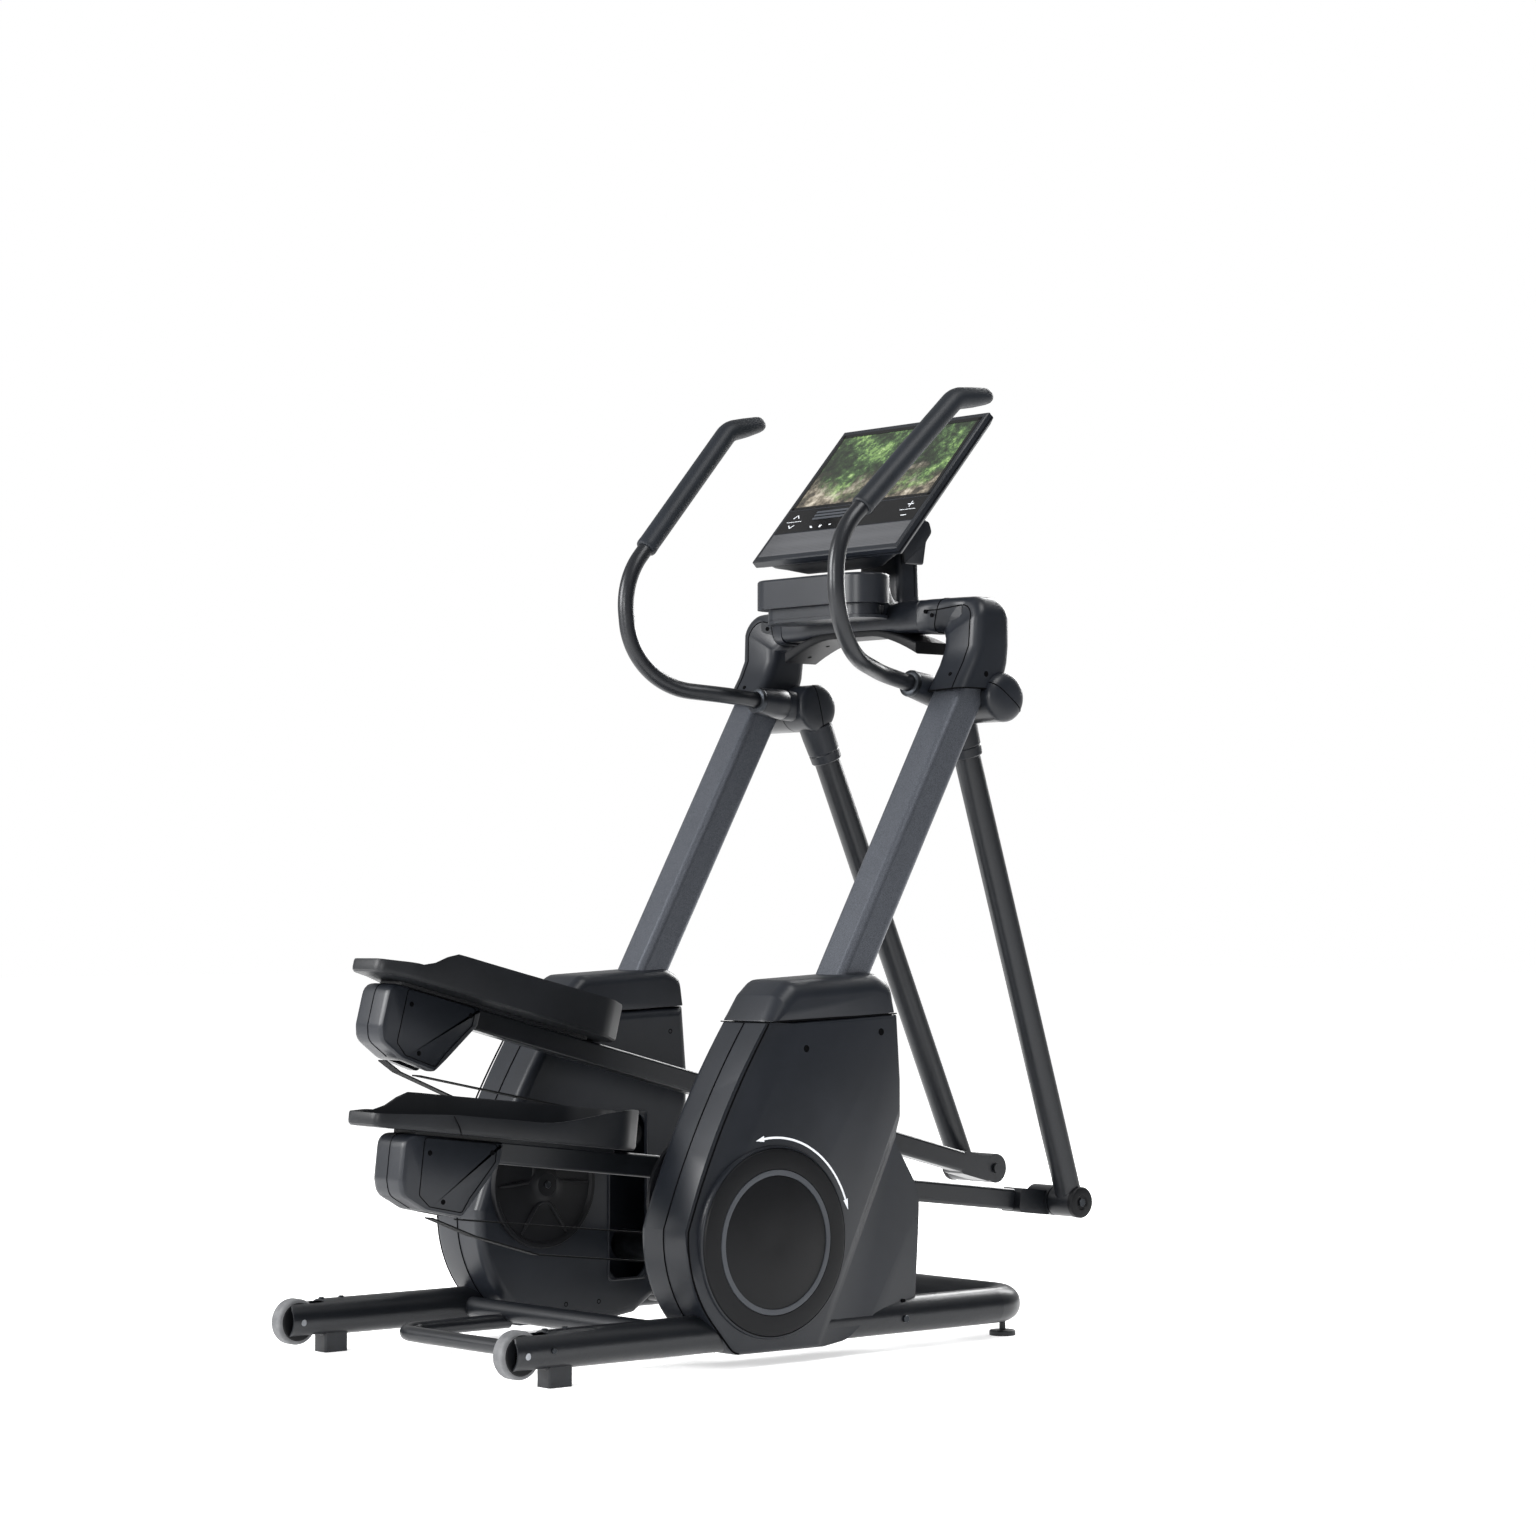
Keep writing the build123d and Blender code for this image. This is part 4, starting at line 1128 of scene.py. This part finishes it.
BELLY = ((-22.5, 188, -183, 176), (-30, 184, -181, 168), (-40, 160, -178, 120),
         (-52, 132, -176, 96), (-58.5, 120, -174, 84))
CHIN = (-57, 104, -172, -92), (-64, 84, -168, -98), (-70, 54, -160, -108)
settle(hull("console_belly", BELLY, 22), "console_belly", shell_abs, body="console")
settle(hull("console_chin", CHIN, 16), "console_chin", disc_abs, body="console")
marks = [chevron(-166, -64, 9, 1), chevron(-166, -94, 9, -1), bar(-188, -144, -79, 0.9),
         bar(157, 173, -64, 1.8), bar(164.1, 165.9, -64, 16), bar(157, 173, -95, 1.8),
         bar(143, 187, -79, 0.9), bar(-104, -99, -98, 2.2), bar(-101, -95, -101, 2.2),
         bar(-76, -69, -98, 2.2), bar(-74.5, -70.5, -101, 4), bar(-48, -42, -98, 2.2)]
settle(join(marks), "console_marks", white_ink, body="console")
slats = [rectangle(-112, 62, mid - 2.6, mid + 2.6, 2.2, 3) for mid in (-58, -67, -76)]
vent = [skin("vent", [face_rim(slat, out) for out in (-0.5, 0.9, 1.3)]) for slat in slats]
settle(join(vent), "console_vent", ring_abs, body="console")
strips = [rectangle(*place, 1.2, 2) for place in (
    (-201, 201, 167, 176.4), (-201, 201, -42.4, -36), (-201, -193, -42, 176),
    (193, 201, -42, 176))]
border = [skin("border", [face_rim(strip, out) for out in (-0.6, 0.2, 0.5)]) for strip in strips]
settle(join(border), "screen_border", acrylic, body="console")
seams = [bead(face_rim([(-203, up), (203, up)], 0.1), 0.8) for up in (-111, -45)]
edge = [(-210.4, -188.4), (-210.4, 188.4), (210.4, 188.4), (210.4, -188.4)]
seams.append(bead(face_rim(edge + edge[:1], -12), 1.0))
settle(join(seams), "console_lines", painted_gap_shade, body="console")

# %% [markdown]
# The mast below the console is a moulded box with round corners and a parting line on each
# side. Two cheeks cover the ends of the tilt hinge.

# %% Mast and hinge cheeks
mast = []
for z, grow in ((1410, 6), (1418, 2.5), (1432, 0.5), (1500, -1), (1514, -3), (1519, -8)):
    flat = rectangle(-60 - grow, 60 + grow, 576 - grow, 636 + grow, 15, 5)
    mast.append([at(x, y, z) for x, y in flat])
settle(skin("mast_skin", mast), "mast_skin", shell_abs, ("mast",))
cheek_outline = rounded([(582, 1494), (632, 1494), (640, 1540), (656, 1560), (648, 1582),
                         (624, 1588), (571, 1562)], [4, 6, 20, 12, 12, 14, 12], 5)
cheek = skin("cheek", [side_rim(shrink(cheek_outline, by), x) for x, by in (
    (64.6, 0), (70, 0), (72, 1.6), (72.6, 4))])
settle_both("hinge_cheeks", cheek, shell_abs)
settle_both("mast_lines", bead([at(60.2, 618, 1420), at(59.4, 618, 1510)], 0.9), painted_gap_shade)
print("console and mast:", made[-8:])

# %% [markdown]
# ## Base fittings
# The transport wheels have dark hubs inside their grey treads, and bolts stand on the rails.
# The slot in each tower's inner wall has a raised lip, and the left rail carries a low socket.

# %% Wheel hubs, bolts, slot lips and socket
for side, sign in SIDES.items():
    wheel_hub = turned("hub", at(0, -574, 60), (sign, 0, 0), [
        (319.6, 20), (319.6, 33), (321, 35), (351, 35), (352.4, 33), (352.4, 16), (351, 14),
        (351, 8)], 40)
    settle(wheel_hub, side + "_wheel_hub", disc_abs, body=side + "_transport_wheel")
RAIL_X, RAIL_SIDE, INNER_WALL_X = 336, 369.5, 236.3
bolts = [hex_bolt(at(RAIL_SIDE, y, z), OUT, flats, height) for y, z, flats, height in (
    (-520, 66, 10, 4), (20, 60, 13, 5), (300, 60, 13, 5))]
bolts += [hex_bolt(at(RAIL_X, y, 97.5), (0, 0, 1), 10, 3) for y in (-470, -514)]
settle_both("rail_bolts", join(bolts), dark_steel)
slot_path = rectangle(83, 177, 99, 421, 10, 4)
settle_both("slot_lips", bead(side_rim(slot_path + slot_path[:1], INNER_WALL_X - 0.1), 3.2),
            shell_abs)
inner_cups = [screw_cup(at(INNER_WALL_X + 0.1, y, z), INWARD, 5) for y, z in
              ((238, 575), (20, 560), (235, 330), (-20, 60), (60, 60), (200, 90))]
settle_both("inner_wall_screws", join(inner_cups), painted_gap_shade)
socket_rims = [[at(x - RAIL_X, y + 430, z) for x, y in
                rectangle(by - 24, 24 - by, by - 42, 42 - by, 7, 4)]
               for z, by in ((92, 0), (108, 0), (112, 2), (113.5, 6))]
settle(skin("rail_socket", socket_rims), "rail_socket", disc_abs)
print(len(made), "new pieces")

# %% [markdown]
# ## Studio
# A plain pale floor, lit a little from within like a light table, one big soft light over the
# left shoulder, one in front, one above on the right, and a small one behind for the edges. The
# sky is white to the camera, but lights the machine at half strength, and less from the front
# right, where a dark flag would stand, so that the flat side panels stay dark and their slanted
# facets show.

# %% Floor and lights
def studio_paint():
    material, tree, place = start_material("matt_studio_paint")
    mottle = grain(tree, place, 400)
    white = ramp(tree, mottle, [(0.3, "#f9f9f9"), (0.7, "#fdfdfd")])
    close_material(tree, Base_Color=white, Roughness=1.0, Specular_IOR_Level=0.0,
                   Emission_Color=white, Emission_Strength=0.6)
    return material


def studio_floor(size):
    bpy.ops.object.select_all(action="DESELECT")
    bpy.ops.mesh.primitive_plane_add(size=size, location=(0, 0, 0))
    floor = bpy.context.object
    floor.name = "studio_floor"
    floor.data.materials.append(studio_paint())


def soft_light(name, place, aim, size, power):
    data = bpy.data.lights.new(name, "AREA")
    data.size, data.energy = size, power
    lamp = bpy.data.objects.new(name, data)
    bpy.context.collection.objects.link(lamp)
    lamp.location = place
    lamp.rotation_euler = (Vector(aim) - Vector(place)).to_track_quat("-Z", "Y").to_euler()


studio_floor(60)
soft_light("key_left", (-2.2, -4.2, 2.6), (0, 0, 0.8), 2.2, 330)
soft_light("edge_behind", (2.0, -5.2, 2.0), (0.2, 0, 0.8), 0.9, 130)
soft_light("rim_front", (-1.2, 4.2, 3.0), (0, 0, 0.9), 2.4, 230)
soft_light("top_right", (2.2, 0.2, 4.4), (0, 0, 0.7), 2.0, 90)

# %% Sky
FLAG_WAY = (0.753, 0.655, 0.06)
sky = bpy.data.worlds.new("studio_sky")
sky.use_nodes = True
sky_tree = sky.node_tree
way = add(sky_tree, "ShaderNodeTexCoord")
to_flag = add(sky_tree, "ShaderNodeVectorMath", {0: (way, "Generated"), 1: FLAG_WAY},
              operation="DOT_PRODUCT")
dim = add(sky_tree, "ShaderNodeMapRange", {"Value": (to_flag, "Value"), "From Min": 0.7,
                                           "From Max": 0.98, "To Min": 0.5, "To Max": 0.03})
seen = add(sky_tree, "ShaderNodeLightPath")
strength = add(sky_tree, "ShaderNodeMapRange", {"Value": (seen, "Is Camera Ray"),
                                                "To Min": (dim, "Result"), "To Max": 1.0})
sky_tree.nodes["Background"].inputs["Color"].default_value = (1, 1, 1, 1)
sky_tree.links.new(strength.outputs["Result"], sky_tree.nodes["Background"].inputs["Strength"])
bpy.context.scene.world = sky
bpy.context.scene.view_settings.view_transform = "Standard"

# %% [markdown]
# The camera stands behind the machine on its right, a little under handle height, with a long
# lens so that the far side stays nearly as large as the near one.

# %% Camera
CAMERA_AZIMUTH, CAMERA_PITCH = 48.865, 2.0435
camera_data = bpy.data.cameras.new("camera")
camera_data.lens, camera_data.sensor_width = 87.18, 36
camera = bpy.data.objects.new("camera", camera_data)
bpy.context.collection.objects.link(camera)
camera.location = at(5395, -4426, 830.7)
camera.rotation_euler = (radians(90 + CAMERA_PITCH), 0, radians(CAMERA_AZIMUTH))
bpy.context.scene.camera = camera
